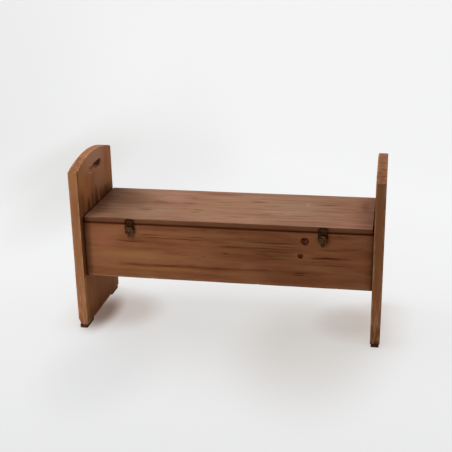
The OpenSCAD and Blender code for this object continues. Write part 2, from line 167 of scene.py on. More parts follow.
# %% The rounded section of a board
ARC_STEPS = 6
QUARTER = np.linspace(0, np.pi / 2, ARC_STEPS)
CORNERS = [(-1, -1, 180), (1, -1, 270), (1, 1, 0), (-1, 1, 90)]  # signs of a corner, and where its arc starts
NEAR_EDGE = np.array([0.5, 2.0, 4.5]) * MM
WEAR_REACH = 4 * MM


def places(low, high, step, extra=()):
    """Places between low and high about step apart, with more of them close to both ends and at extra."""
    even = np.linspace(low, high, max(3, round((high - low) / step)))[1:-1]
    near = NEAR_EDGE[NEAR_EDGE < (high - low) / 3]
    found = np.concatenate([even, low + near, high - near, np.asarray(extra, float)])
    return np.unique(np.round(found, 6))


def rounded_section(low, high, radius, wide, thin):
    """Rounded rectangle at every station: arcs, centre + radius * (cos, sin), joined by straight sides.

    low and high are (stations, 2) and radius is (stations, 4). wide and thin are where the points along
    the two kinds of side lie. Gives the points, their normals and their distance to an edge."""
    spots, normals, edge = [], [], []
    for k, (sign_a, sign_b, start) in enumerate(CORNERS):
        angle = np.radians(start) + QUARTER
        normal = np.stack([np.cos(angle), np.sin(angle)], -1)
        r = radius[:, k, None]
        corner = np.stack([(high if sign_a > 0 else low)[:, 0], (high if sign_b > 0 else low)[:, 1]], -1)
        spots.append((corner - r * (sign_a, sign_b))[:, None] + r[..., None] * normal)
        normals.append(normal)
        edge.append(np.zeros((len(low), ARC_STEPS)))
        axis = k % 2
        along = (wide, thin, wide[::-1], thin[::-1])[k]
        room = radius.max() + 0.1 * MM
        side = np.empty((len(low), len(along), 2))
        side[..., axis] = np.clip(along, low[:, axis, None] + room, high[:, axis, None] - room)
        side[..., 1 - axis] = (low if k in (0, 3) else high)[:, 1 - axis, None]
        spots.append(side)
        normals.append(np.tile([(0, -1), (1, 0), (0, 1), (-1, 0)][k], (len(along), 1)))
        from_low, from_high = side[..., axis] - low[:, axis, None], high[:, axis, None] - side[..., axis]
        edge.append(np.minimum(from_low, from_high) - room)
    turn = len(thin) // 2
    joined = (np.concatenate(spots, 1), np.concatenate(normals, 0), np.concatenate(edge, 1))
    return np.roll(joined[0], turn, 1), np.roll(joined[1], turn, 0), np.roll(joined[2], turn, 1)


# %% The whole board, with both of its ends closed
# How long a swell of the corner radius is, how much it swings, its limits, and the least near an end
RADIUS_WAVE, RADIUS_SWING, RADIUS_LIMITS, SHARPEST = 0.16, 0.2, (0.3, 1.4), 0.1
BOARD_STEP, BOARD_DIP, DIP_WAVES = 9 * MM, 0.12 * MM, (0.13, 0.07, 0.07)
# Where rows of points lie on a narrow side, and how many radii a wide side keeps free for its arcs
THIN_SHARES, ARC_ROOM = np.array([0.2, 0.4, 0.6, 0.8]), 2.7


def ladder_caps(rows, cols):
    """Squares that close both ends: rung j joins points j and j + 1 to their mirror images."""
    j = np.arange(cols // 2 - 1)
    first = np.stack([j, j + 1, cols - 2 - j, cols - 1 - j], -1)
    return np.concatenate([first, first[:, ::-1] + (rows - 1) * cols])


def eased_board(low, high, order, ease, seed, extra_u=(), extra_a=()):
    """Closed surface of a board from corner low to corner high; order names its length, width, thickness.

    Its corner radii are ease * (1 + RADIUS_SWING * ripple), and every point moves inwards by
    BOARD_DIP * (1 + ripple) / 2. Gives points, faces, and wear = exp(-distance to an edge / WEAR_REACH)."""
    (u0, a0, b0), (u1, a1, b1) = np.array(low)[order], np.array(high)[order]
    drawn_in, back = ease * (1 - np.cos(QUARTER)), ease * (1 - np.sin(QUARTER))
    middle = places(u0 + ease, u1 - ease, BOARD_STEP, extra_u)
    u = np.concatenate([u0 + back[::-1], middle, u1 - back])
    inset = np.concatenate([drawn_in[::-1], 0 * middle, drawn_in])
    lows, highs = np.stack([a0 + inset, b0 + inset], -1), np.stack([a1 - inset, b1 - inset], -1)
    along = np.stack([u, 0 * u, 0 * u], -1)
    swing = np.stack([ripple(along, RADIUS_WAVE, seed + k) for k in range(4)], -1)
    radius = np.clip(1 + RADIUS_SWING * swing, *RADIUS_LIMITS) * ease
    radius = np.maximum(radius - inset[:, None], SHARPEST * ease)
    thin = b0 + (b1 - b0) * THIN_SHARES
    wide = places(a0 + ARC_ROOM * ease, a1 - ARC_ROOM * ease, BOARD_STEP, extra_a)
    section, normal, edge = rounded_section(lows, highs, radius, wide, thin)
    points = np.empty(section.shape[:2] + (3,))
    points[..., order[0]] = u[:, None]
    points[..., order[1:]] = section
    sunk = BOARD_DIP * (1 + np.clip(ripple(points, DIP_WAVES, seed + 9), -1, 1)) / 2
    points[..., order[1:]] -= normal * sunk[..., None]
    near_end = np.minimum(u - u0, u1 - u)[:, None]
    wear_and_shade = np.exp(-np.maximum(np.minimum(edge, near_end), 0) / WEAR_REACH)
    rows, cols = section.shape[:2]
    faces = np.concatenate([grid_faces(rows, cols), ladder_caps(rows, cols)])
    return points, faces, wear_and_shade


# %% Dents
def dent(points, where, reach, depth, push):
    """Moves points within reach of a place along push by depth * (1 - (distance / reach) ** 2) ** 2."""
    near = np.clip(1 - (np.linalg.norm(points - where, axis=-1) / reach) ** 2, 0, 1) ** 2
    return points + near[..., None] * depth * np.asarray(push, float)


# %% [markdown]
# ## A panel with a hand-hold is a ring
# A plate with one hole has the form of a ring, so one closed grid can cover it without a seam: a section is
# carried around the slot. It starts at the slot, crosses the inner face to the outline, turns over the
# rounded edge, comes back on the outer face and goes through the slot's wall. The alternative, cutting a
# hole with a boolean, would leave long thin faces that can't show wear. Wear below 0 stands for painted
# shade: the slot's wall is painted darker towards its back end, where shade falls, and rubbed pale towards
# the front, where hands slide in. The outer edge is painted paler low down, partly as scuffing and partly
# as light bounced from the floor.

# %% End panel: an outline of lines and arcs, and the slot seen from its middle
ARCH_RISE = 32 * MM
SLOT_LENGTH, SLOT_HEIGHT, SLOT_CROWN = 140 * MM, 27 * MM, 47 * MM
FOOT_ROUND, TOP_ROUND = 5 * MM, 4 * MM
FOOT_STEPS, SIDE_STEPS, ARCH_STEPS = 56, 84, 70


def bow(centre, radius, start, end, count):
    """Arc of count places without its last one: centre + radius * (cos, sin); its normals are (cos, sin)."""
    angle = np.linspace(start, end, count, endpoint=False)
    normal = np.stack([np.cos(angle), np.sin(angle)], -1)
    return np.array(centre) + radius * normal, normal


def run(start, end, count):
    """Straight line of count places without its last one; its normal is its direction turned to the right."""
    start, end = np.array(start), np.array(end)
    share = np.linspace(0, 1, count, endpoint=False)[:, None]
    way = (end - start) / np.linalg.norm(end - start)
    return start + share * (end - start), np.tile([way[1], -way[0]], (count, 1))


def panel_outline(half, foot, crown):
    """Outline of a panel in depth and height, anticlockwise: foot, side, arched top and the other side."""
    arch = (half**2 + ARCH_RISE**2) / (2 * ARCH_RISE)
    arch_z = crown - arch
    reach = half - TOP_ROUND
    corner_z = arch_z + np.sqrt((arch - TOP_ROUND) ** 2 - reach**2)
    lean = np.arctan2(corner_z - arch_z, reach)
    low, inner = foot + FOOT_ROUND, half - FOOT_ROUND
    pieces = [
        run((-inner, foot), (inner, foot), FOOT_STEPS),
        bow((inner, low), FOOT_ROUND, -np.pi / 2, 0, ARC_STEPS),
        run((half, low), (half, corner_z), SIDE_STEPS),
        bow((reach, corner_z), TOP_ROUND, 0, lean, ARC_STEPS),
        bow((0, arch_z), arch, lean, np.pi - lean, ARCH_STEPS),
        bow((-reach, corner_z), TOP_ROUND, np.pi - lean, np.pi, ARC_STEPS),
        run((-half, corner_z), (-half, low), SIDE_STEPS),
        bow((-inner, low), FOOT_ROUND, np.pi, np.pi * 1.5, ARC_STEPS),
    ]
    return np.concatenate([p for p, _ in pieces]), np.concatenate([n for _, n in pieces])


def slot_towards(outline, middle):
    """Where a ray from the slot's middle to each place of the outline leaves the slot, and the normal there.

    The slot is a straight run between two half circles: a ray leaves through the flat side where
    its depth there is within the straight run, and otherwise through a half circle."""
    ray = (outline - middle) / np.linalg.norm(outline - middle, axis=1)[:, None]
    c, s = ray.T
    r, straight = SLOT_HEIGHT / 2, (SLOT_LENGTH - SLOT_HEIGHT) / 2
    flat = r / np.maximum(np.abs(s), 1e-9)
    round_end = straight * np.abs(c) + np.sqrt(np.maximum(r**2 - (straight * s) ** 2, 0))
    through_flat = flat * np.abs(c) <= straight
    spot = ray * np.where(through_flat, flat, round_end)[:, None]
    middle_of_end = np.stack([np.sign(c) * straight, 0 * c], -1)
    normal = np.where(through_flat[:, None], np.stack([0 * c, np.sign(s)], -1), (spot - middle_of_end) / r)
    return spot + middle, normal


# %% End panel: the ring carried around the slot
PANEL_EASE, SLOT_EASE, EASE_WAVE, EASE_SWING = 2.6 * MM, 1.6 * MM, 0.11, 0.3
PANEL_DIP, PANEL_DIP_WAVE = 0.15 * MM, 0.12
EASE_LIMIT = 1.5
# Where the rings lie: on the faces, closer at both rims, across the outer edge, and across the slot's wall
FACE_SHARES = np.sort([*np.linspace(0, 1, 42), 0.004, 0.012, 0.988, 0.996])
EDGE_SHARES, WALL_SHARES = (0.2, 0.35, 0.5, 0.65, 0.8), (0.75, 0.5, 0.25)
# The outer edge is paler low down, partly scuffed by shoes and partly painted light bounced from the floor;
# the slot's wall is painted with shade towards its back end, and hands rub its rim at the front
SCUFF_AND_BOUNCE, SCUFF_AND_BOUNCE_START, SCUFF_AND_BOUNCE_REACH = 1.0, 1.3, 200 * MM
SLOT_SHADE, SLOT_SHADE_REACH, SLOT_SHADE_SWING, SLOT_SHADE_WAVE = -1.0, 40 * MM, 0.9, 0.012
HAND_RUB, HAND_RUB_REACH = 0.2, 60 * MM


def slotted_panel(low, high, side, seed):
    """Closed surface of an end panel; side is -1 or 1. Gives points, faces and wear.

    Wear is exp(-distance to an edge / WEAR_REACH), but on the outer edge at least
    SCUFF_AND_BOUNCE * (SCUFF_AND_BOUNCE_START - height / SCUFF_AND_BOUNCE_REACH), partly scuffing and partly
    painted light bounced from the floor, and in the slot SLOT_SHADE * (depth / SLOT_SHADE_REACH + ripple),
    which is painted shade that deepens towards the slot's back end.
    The edges are eased by PANEL_EASE * (1 + EASE_SWING * ripple), and the faces dip as a board's do."""
    half, foot, crown = high[1], low[2], high[2]
    inside, outside = sorted((low[0], high[0]), key=abs)
    rim, rim_normal = panel_outline(half, foot, crown)
    middle = np.array([0, crown - SLOT_CROWN - SLOT_HEIGHT / 2])
    hold, hold_normal = slot_towards(rim, middle)
    around = np.insert(rim, 0, side, axis=1)
    swing = [np.clip(ripple(around, EASE_WAVE, seed + k), -EASE_LIMIT, EASE_LIMIT)[:, None] for k in (0, 1)]
    ease, ease_in = (PANEL_EASE * (1 + EASE_SWING * s) for s in swing)
    rings = []

    def ring(spots, x, wear_and_shade, push):
        """One loop around the slot: places in depth and height at x, their wear, and the way they dip."""
        points = np.insert(spots, 0, 0, axis=1)
        points[:, 0] = x if np.isscalar(x) else x[:, 0]
        rings.append((points, np.broadcast_to(wear_and_shade, len(spots)), push))

    def face(x, shares, x_push):
        """Face between the slot's edge, at share 0, and the outline's edge, at share 1."""
        start, end = hold + hold_normal * SLOT_EASE, rim - rim_normal * (ease if x == outside else ease_in)
        for share in shares:
            spots = start + (end - start) * share
            gap = np.linalg.norm(end - start, axis=1) * min(share, 1 - share)
            ring(spots, x, np.exp(-gap / WEAR_REACH), (x_push, 0))

    def rounding(edge, normal, r, x, towards, out, angles):
        """Quarter circle over an edge: out * r * (sin - 1) from the edge, and towards * r * (1 - cos)."""
        wear_and_shade = 1.0 if out > 0 else np.clip(HAND_RUB - edge[:, 0] / HAND_RUB_REACH, 0, 1)
        for a in angles:
            spots = edge + normal * out * r * (np.sin(a) - 1)
            ring(spots, x + towards * r * (1 - np.cos(a)), wear_and_shade, (0, 0))

    into = np.sign(outside - inside)
    thickness = abs(outside - inside)
    slot_ease = np.full_like(ease, SLOT_EASE)
    face(inside, FACE_SHARES, into)
    rounding(rim, rim_normal, ease_in, inside, into, 1, QUARTER[1:])
    for share in EDGE_SHARES:
        rubbed = np.exp(-min(share, 1 - share) * thickness / WEAR_REACH)
        # Partly scuffing and partly painted light bounced from the floor: the outer edge is paler low down
        scuffed_and_bounce_lit = SCUFF_AND_BOUNCE * np.clip(SCUFF_AND_BOUNCE_START - rim[:, 1] / SCUFF_AND_BOUNCE_REACH, 0, 1)
        ring(rim, inside + into * thickness * share, np.maximum(rubbed, scuffed_and_bounce_lit), (0, -1))
    rounding(rim, rim_normal, ease, outside, -into, 1, QUARTER[:0:-1])
    face(outside, FACE_SHARES[::-1], -into)
    rounding(hold, hold_normal, slot_ease, outside, -into, -1, QUARTER[1:])
    for share in WALL_SHARES:
        depths = np.insert(hold, 0, inside + into * thickness * share, axis=1)
        # Painted shade: the slot's wall darkens towards its back end, in broken marks
        shade_along_slot = hold[:, 0] / SLOT_SHADE_REACH + SLOT_SHADE_SWING * ripple(depths, SLOT_SHADE_WAVE, seed + 5)
        ring(hold, inside + into * thickness * share, SLOT_SHADE * np.clip(shade_along_slot, -1, SLOT_SHADE_SWING), (0, 0))
    rounding(hold, hold_normal, slot_ease, inside, into, -1, QUARTER[:0:-1])
    points = np.stack([p for p, _, _ in rings], 1)
    wear_and_shade = np.stack([w for _, w, _ in rings], 1)
    push = np.array([p for _, _, p in rings])
    sunk = PANEL_DIP * (1 + np.clip(ripple(points, PANEL_DIP_WAVE, seed + 2), -1, 1)) / 2
    points[..., 0] += push[:, 0] * sunk
    points[..., 1:] += rim_normal[:, None] * (push[:, 1] * sunk)[..., None]
    faces = grid_faces(*points.shape[:2], wrap_rows=True)
    return points, faces, wear_and_shade


# %% [markdown]
# ## The end panels
# Both panels are the same board, mirrored, but no two boards wear alike, so each has its own unevenness.
# The left one has been dragged and set down on its front outer corner, which is rubbed round. In front of
# the box, the inner faces stand proud as two narrow strips, painted dark as shade; above the lid, a strip
# along the front of each inner face is painted darker.

# %% End panels
LEFT_PANEL, RIGHT_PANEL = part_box("left_end_panel"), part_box("right_end_panel")
LID, BACK, FRONT = (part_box(node) for node in ("lid_board", "back_board", "front_board"))
# Painted shade on the strip in front of the front board, and a darker strip along the front edge above the
# lid
RECESS_SHADE, RECESS_SPILL, EDGE_DARKER, EDGE_STRIP = -0.75, 4 * MM, -0.6, 12 * MM
FOOT_RISE, FOOT_REACH, FOOT_DENT, FOOT_PUSH = 4 * MM, 24 * MM, 7 * MM, (0.9, 0.25, 0.35)


def darken_front_strips(points, wear_and_shade, inside):
    """Paints shade on the strip of a panel's inner face that stands proud of the front board, and paints a
    strip along its front edge above the lid darker, less strongly.
    """
    x, y, z = np.moveaxis(points, -1, 0)
    face = (np.abs(x - inside) < 0.5 * MM) & (z > FRONT[0][2])
    beside = face & (y < FRONT[0][1] + RECESS_SPILL) & (z < LID[1][2])
    above = face & (y < LEFT_PANEL[0][1] + EDGE_STRIP) & (z > LID[1][2])
    return np.where(beside, RECESS_SHADE, np.where(above, EDGE_DARKER, wear_and_shade))


points, faces, wear_and_shade = slotted_panel(*LEFT_PANEL, -1, seed=11)
wear_and_shade = darken_front_strips(points, wear_and_shade, LEFT_PANEL[1][0])
worn_foot = np.array(LEFT_PANEL[0]) + (0, 0, FOOT_RISE)
points = dent(points, worn_foot, FOOT_REACH, FOOT_DENT, FOOT_PUSH)
make_piece("left_panel", points, faces, "carcass", ["left_end_panel"], wear_and_shade)
points, faces, wear_and_shade = slotted_panel(*RIGHT_PANEL, 1, seed=23)
wear_and_shade = darken_front_strips(points, wear_and_shade, RIGHT_PANEL[0][0])
make_piece("right_panel", points, faces, "carcass", ["right_end_panel"], wear_and_shade)

# %% [markdown]
# ## The box's boards and the lid
# The front and back boards stand on edge between the panels. The lid lies on them. Where a hinge's leaf is
# let into the wood, the board has a shallow mortise: every point of that edge is moved down to its floor.
# The front board's lower edge has four nicks, from years of being lifted and pushed about.

# %% Mortises for the hinges
HINGE_PIN, HINGE_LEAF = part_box("right_hinge_pin"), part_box("right_hinge_fixed_leaf")
HINGE_AXIS = (HINGE_PIN[0] + HINGE_PIN[1]) / 2
ROOM = 0.3 * MM
LEAF_HALF = (HINGE_LEAF[1][0] - HINGE_LEAF[0][0]) / 2 + ROOM
BARREL_HALF = (HINGE_PIN[1][0] - HINGE_PIN[0][0]) / 2 + ROOM
LEAF_WIDTH, LEAF_FLOOR, BARREL_ROOM = 18.1 * MM, 1.75 * MM, 3.3 * MM
HAIR = 0.02 * MM  # two rows of points this close to an end make its wall stand upright
mortise_x = [side * (HINGE_AXIS[0] + end * half) + hair for side in (-1, 1) for end in (-1, 1)
             for half in (LEAF_HALF, BARREL_HALF) for hair in (-HAIR, HAIR)]
mortise_y = [HINGE_AXIS[1] - LEAF_WIDTH - HAIR, HINGE_AXIS[1] - LEAF_WIDTH + HAIR]


def mortise_depth(points):
    """How far the wood is cut away from the height of the hinge's axis: down to the leaf, or for the barrel.

    The first is LEAF_FLOOR, the second a circle, sqrt(BARREL_ROOM ** 2 - distance ** 2)."""
    near = np.abs(np.abs(points[..., 0]) - HINGE_AXIS[0])
    back = points[..., 1] - HINGE_AXIS[1]
    leaf = LEAF_FLOOR * ((near < LEAF_HALF) & (back > -LEAF_WIDTH))
    barrel = np.sqrt(np.maximum(BARREL_ROOM**2 - back**2, 0)) * (near < BARREL_HALF)
    return np.maximum(leaf, barrel)


# %% Front board, back board and lid: where two pieces meet, wear turns to painted shade
UPRIGHT, FLAT = [0, 2, 1], [0, 1, 2]
EDGE_EASE, LID_EASE = 2.5 * MM, 1.8 * MM
HIDDEN_EDGE, NICK_POINTS, NICK_PUSH = 8 * MM, 7, (0, 0.7, 0.7)
LOWER_EDGE_NICKS = [(-275, 5, 1.6), (-52, 4, 1.0), (118, 6, 1.4), (402, 5, 1.2)]  # place, reach and depth
nick_x = [(x + d) * MM for x, reach, _ in LOWER_EDGE_NICKS for d in np.linspace(-reach, reach, NICK_POINTS)]

points, faces, wear_and_shade = eased_board(*FRONT, UPRIGHT, EDGE_EASE, seed=31, extra_u=nick_x)
for x, reach, depth in LOWER_EDGE_NICKS:
    points = dent(points, np.array([x * MM, FRONT[0][1], FRONT[0][2]]), reach * MM, depth * MM, NICK_PUSH)
# Painted shade: the top edge under the lid and both ends beside the panels get wear below 0
hidden = (points[..., 2] > FRONT[1][2] - HIDDEN_EDGE) | (np.abs(points[..., 0]) > FRONT[1][0] - HIDDEN_EDGE)
wear_and_shade = np.where(hidden, -wear_and_shade, wear_and_shade)
make_piece("front", points, faces, "carcass", ["front_board"], wear_and_shade)

points, faces, wear_and_shade = eased_board(*BACK, UPRIGHT, EDGE_EASE, seed=47, extra_u=mortise_x)
points[..., 2] = np.minimum(points[..., 2], HINGE_AXIS[2] - mortise_depth(points))
make_piece("back", points, faces, "carcass", ["back_board"], wear_and_shade)

points, faces, wear_and_shade = eased_board(*LID, FLAT, LID_EASE, seed=59, extra_u=mortise_x, extra_a=mortise_y)
points[..., 2] = np.maximum(points[..., 2], HINGE_AXIS[2] + mortise_depth(points))
# Painted shade: the lid's lower edges get wear below 0, which darkens the gap line under it
wear_and_shade = np.where(points[..., 2] < LID[0][2] + HIDDEN_EDGE / 2, -wear_and_shade, wear_and_shade)
make_piece("lid_top", points, faces, "lid", ["lid_board"], wear_and_shade)

# %% [markdown]
# ## Pieces that only need their edges broken
# The cleats, the battens, the bottom board and the rubber pads are plain shapes with screw holes. Their
# solids are right as they are, so a copy is welded together and its long edges get a Bevel. Only edges that
# are sharp and longer than those of a hole carry a bevel weight, so that every screw still sits in its hole.

# %% Copies with eased edges
WELD, NEARLY_FLAT, SHARP = 0.002 * MM, np.radians(1), np.radians(50)
LONGER_THAN_HOLES = 5.5 * MM
BEVEL_SEGMENTS = 3


def eased_copy(name, node, width):
    """A welded copy of a node of the construction, whose sharp edges, but not its holes', are bevelled."""
    source = frame["nodes"][node]
    shape = bmesh.new()
    shape.from_mesh(source.data)
    bmesh.ops.remove_doubles(shape, verts=shape.verts, dist=WELD)
    bmesh.ops.dissolve_limit(shape, angle_limit=NEARLY_FLAT, verts=shape.verts, edges=shape.edges)
    layer = shape.edges.layers.float.new("bevel_weight_edge")
    for edge in shape.edges:
        is_long = len(edge.link_faces) == 2 and edge.calc_length() > LONGER_THAN_HOLES
        if is_long and edge.calc_face_angle() > SHARP:
            edge[layer] = 1.0
    mesh = bpy.data.meshes.new(name)
    shape.to_mesh(mesh)
    shape.free()
    mesh.materials.clear()
    piece = bpy.data.objects.new(name, mesh)
    bpy.context.scene.collection.objects.link(piece)
    bevel = piece.modifiers.new("eased", "BEVEL")
    bevel.limit_method, bevel.width, bevel.segments = "WEIGHT", width, BEVEL_SEGMENTS
    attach(piece, source["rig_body"])
    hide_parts(node)
    print(name, "is an eased copy with", len(mesh.vertices), "points")
    return piece


CLEAT_BEVEL, BATTEN_BEVEL, PAD_BEVEL = 1.2 * MM, 2.0 * MM, 2.5 * MM
eased_copy("cleat_front", "front_cleat", CLEAT_BEVEL)
eased_copy("cleat_back", "back_cleat", CLEAT_BEVEL)
eased_copy("bottom", "bottom_board", CLEAT_BEVEL)
eased_copy("batten_left", "left_lid_batten", BATTEN_BEVEL)
eased_copy("batten_right", "right_lid_batten", BATTEN_BEVEL)
pads = [eased_copy(f"pad_{end}_{side}", f"foot_pad_{end}_{side}", PAD_BEVEL)
        for end in ("front", "back") for side in ("left", "right")]

# %% [markdown]
# ## Shader nodes in one line each
# A material is a graph of small nodes. One function adds a node, sets it up and links it, so a graph reads
# like arithmetic from top to bottom. Colours are written as the hex values that a paint chart would give,
# and turned to the linear light that the renderer adds up. Stain, wax, rubbing and dirt lie one over
# another, so one more function lays tones over a colour, each by a share of its own.

# %% One function for colours, one for nodes
SMOOTH = {"interpolation_type": "SMOOTHSTEP"}


def linear(code):
    """Hex colour to linear light: a channel c becomes ((c + 0.055) / 1.055) ** 2.4, or c / 12.92 if dark."""
    channels = np.array([int(code[k : k + 2], 16) for k in (1, 3, 5)]) / 255
    light = np.where(channels > 0.04045, ((channels + 0.055) / 1.055) ** 2.4, channels / 12.92)
    return (*light, 1.0)


def feed(made, feeds):
    """Sets a node's inputs, given in their order or by name or number.

    Each is a value, a hex colour or the output of another node."""
    for key, value in feeds.items() if isinstance(feeds, dict) else enumerate(feeds):
        if isinstance(value, bpy.types.NodeSocket):
            made.id_data.links.new(value, made.inputs[key])
        else:
            made.inputs[key].default_value = linear(value) if isinstance(value, str) else value


def add(tree, kind, feeds=(), give=0, stops=(), **settings):
    """Adds one shader node with its settings and feeds, and gives back one of its outputs.

    stops are a ramp's (position, value) pairs, where a value is a grey from 0 to 1 or a hex colour."""
    made = tree.nodes.new("ShaderNode" + kind)
    for name, value in settings.items():
        setattr(made, name, value)
    feed(made, feeds)
    ramp = made.color_ramp.elements if stops else ()
    while len(ramp) < len(stops):
        ramp.new(0.5)
    for element, (position, value) in zip(ramp, stops):
        element.position = position
        element.color = linear(value) if isinstance(value, str) else (value, value, value, 1)
    return made.outputs[give] if made.outputs else None


# %% A new material, and layers of colour on it
def new_material(name):
    """A material with a bare Principled shader. Gives both, and the add function for its own tree."""
    material = bpy.data.materials.new(name)
    material.use_nodes = True
    tree = material.node_tree
    tree.nodes.clear()
    shader = tree.nodes.new("ShaderNodeBsdfPrincipled")
    add(tree, "OutputMaterial", {"Surface": shader.outputs[0]})
    return material, shader, partial(add, tree)


def cover(node, colour, layers, how="MIX"):
    """Lays tones over a colour, one after another. A layer is (share, strength, tone).

    It hides share * strength of what is under it, or, with how MULTIPLY, glazes that much of it."""
    for share, strength, tone in layers:
        hidden = node("Math", [share, strength], operation="MULTIPLY")
        colour = node("Mix", {"Factor": hidden, 6: colour, 7: tone}, give=2, data_type="RGBA", blend_type=how)
    return colour


def soft_spot(node, place, middle, half_sizes, fade):
    """1 in a soft ellipse and 0 around it: its middle's distance in half sizes, smoothed over fade."""
    scale = 1 / np.array(half_sizes)
    away = node("Mapping", {"Vector": place, "Location": -np.array(middle) * scale, "Scale": scale})
    distance = node("VectorMath", [away], give="Value", operation="LENGTH")
    return node("MapRange", [distance, *fade], **SMOOTH)


# %% [markdown]
# ## Pine, all the way through
# A picture of grain wrapped on a board never agrees with itself at the edges. Real timber is a stack of
# yearly rings around a pith, and a saw only uncovers them. So the colour is worked out from the distance to
# a pith line that runs beside the board, in millimetres: long flames on a face, tight lines on an edge and
# arcs on the end grain come out by themselves. The first step finds every point's place in the tree. A wide
# panel is glued from planks, and each of them was cut from another part of the trunk.

# %% Pine: the place in the tree
MM_PER_METRE = 1000.0
PLANKS_APART = (1900.0, 70.0, 30.0)
SWELL_ROUGHNESS = 0.6


def place_in_tree(node, order, joints, seed):
    """Millimetres along the grain, across the face and through the board, on the board and in the tree.

    In the tree, every plank between two joints is moved by its own random part of PLANKS_APART."""
    metres = node("TexCoord", give="Object")
    millimetres = node("VectorMath", {0: metres, "Scale": MM_PER_METRE}, operation="SCALE")
    axes = node("SeparateXYZ", [millimetres]).node.outputs
    board = node("CombineXYZ", [axes[axis] for axis in order])
    plank = seed
    for joint in joints:
        beyond = node("Math", [axes[order[1]], joint], operation="GREATER_THAN")
        plank = node("Math", [beyond, plank], operation="ADD")
    chance = node("TexWhiteNoise", {"W": plank}, give="Color", noise_dimensions="1D")
    return board, node("VectorMath", [chance, PLANKS_APART, board], operation="MULTIPLY_ADD")


def swells(node, place, size, detail, give="Fac"):
    """Noise around 0.5 in the wood; a swell is size[0] millimetres long and size[1] across the grain."""
    along, across = size
    scaled = node("VectorMath", [place, (1 / along, 1 / across, 1 / across)], operation="MULTIPLY")
    feeds = {"Vector": scaled, "Scale": 1.0, "Detail": detail, "Roughness": SWELL_ROUGHNESS}
    return node("TexNoise", feeds, give=give)


# %% [markdown]
# ## Knots
# A knot is a branch that the trunk grew around. The wood flows past it, the branch itself is dark and hard,
# and a dead one keeps a black rim of bark. A dark dot would look stuck on, so each knot also draws the
# places beside it towards itself, and the yearly rings bend with them.

# %% Pine: knots
# The pull's reach and every other place are in radii of the knot, the ragged noise is in millimetres
KNOT_LENGTH, KNOT_WIDTH, KNOT_PULL = 4.2, 2.2, 0.85
HEART_STRETCH, HEART_EDGE = 0.95, (1.3, 1.1)
RIM_AT, RIM_SHARPNESS = 1.12, 6.0
RAGGED_SIZE, RAGGED = (9, 9), 0.5


def bell(node, distance):
    """1 at distance 0, falling smoothly to 0: exp(-distance ** 2)."""
    square = node("Math", [distance, distance], operation="MULTIPLY")
    return node("Math", [node("Math", [square, -1.0], operation="MULTIPLY")], operation="EXPONENT")


def knot_distance(node, away, along, across):
    """Distance from a knot, with its part along the grain times along and its part across times across."""
    scaled = node("VectorMath", [away, (along, across, 0.0)], operation="MULTIPLY")
    return node("VectorMath", [scaled], give="Value", operation="LENGTH")


def pine_knots(node, board, grown, knots):
    """Knots at (along, across, radius). Gives the bent place in the tree, and the halo, heart and rim.

    A place moves across the grain by KNOT_PULL * distance * exp(-(distance / reach) ** 2), where reach is
    KNOT_LENGTH or KNOT_WIDTH times the radius. Heart and rim end at a ragged distance of about 1 radius."""
    halo, heart, rim = 0.0, 0.0, 0.0
    ragged = swells(node, board, RAGGED_SIZE, detail=2)
    for along, across, radius in knots:
        away = node("VectorMath", [board, (along, across, 0.0)], operation="SUBTRACT")
        near = bell(node, knot_distance(node, away, 1 / (KNOT_LENGTH * radius), 1 / (KNOT_WIDTH * radius)))
        pull = node("VectorMath", {0: away, "Scale": near}, operation="SCALE")
        grown = node("VectorMath", [pull, (0.0, -KNOT_PULL, 0.0), grown], operation="MULTIPLY_ADD")
        halo = node("Math", [halo, near], operation="MAXIMUM")
        plain = knot_distance(node, away, HEART_STRETCH / radius, 1 / radius)
        outline = node("Math", [ragged, RAGGED, plain], operation="MULTIPLY_ADD")
        inside = node("MapRange", [outline, *HEART_EDGE], **SMOOTH)
        heart = node("Math", [heart, inside], operation="MAXIMUM")
        from_rim = node("Math", [outline, -RIM_AT], operation="ADD")
        bark = bell(node, node("Math", [from_rim, RIM_SHARPNESS], operation="MULTIPLY"))
        rim = node("Math", [rim, bark], operation="MAXIMUM")
    return grown, halo, heart, rim


# %% [markdown]
# ## Years
# Each year adds a ring: pale wood in spring, which turns slowly to dark wood in late summer and then stops
# short. So a year is a slow ramp up and a quick fall, not a sine wave. No two years are as wide or as dark
# as each other, and a pith line that sways makes the rings waver along the board.

# %% Pine: years
# The size of each swell, and how many millimetres it moves the pith line or a ring
SWAY_SIZE, SWAY = (460, 150), (0.0, 60.0, 60.0)
WAVER_SIZE, WAVER = (60, 9), 3.0
YEARS_ALIKE, YEARS_MOVED, FAINTEST_YEAR = 6, 3.0, 0.25
SEASON = [(0, 0), (0.4, 0.1), (0.78, 0.7), (0.93, 1.0), (1, 0.0)]  # from spring to autumn, and how dark


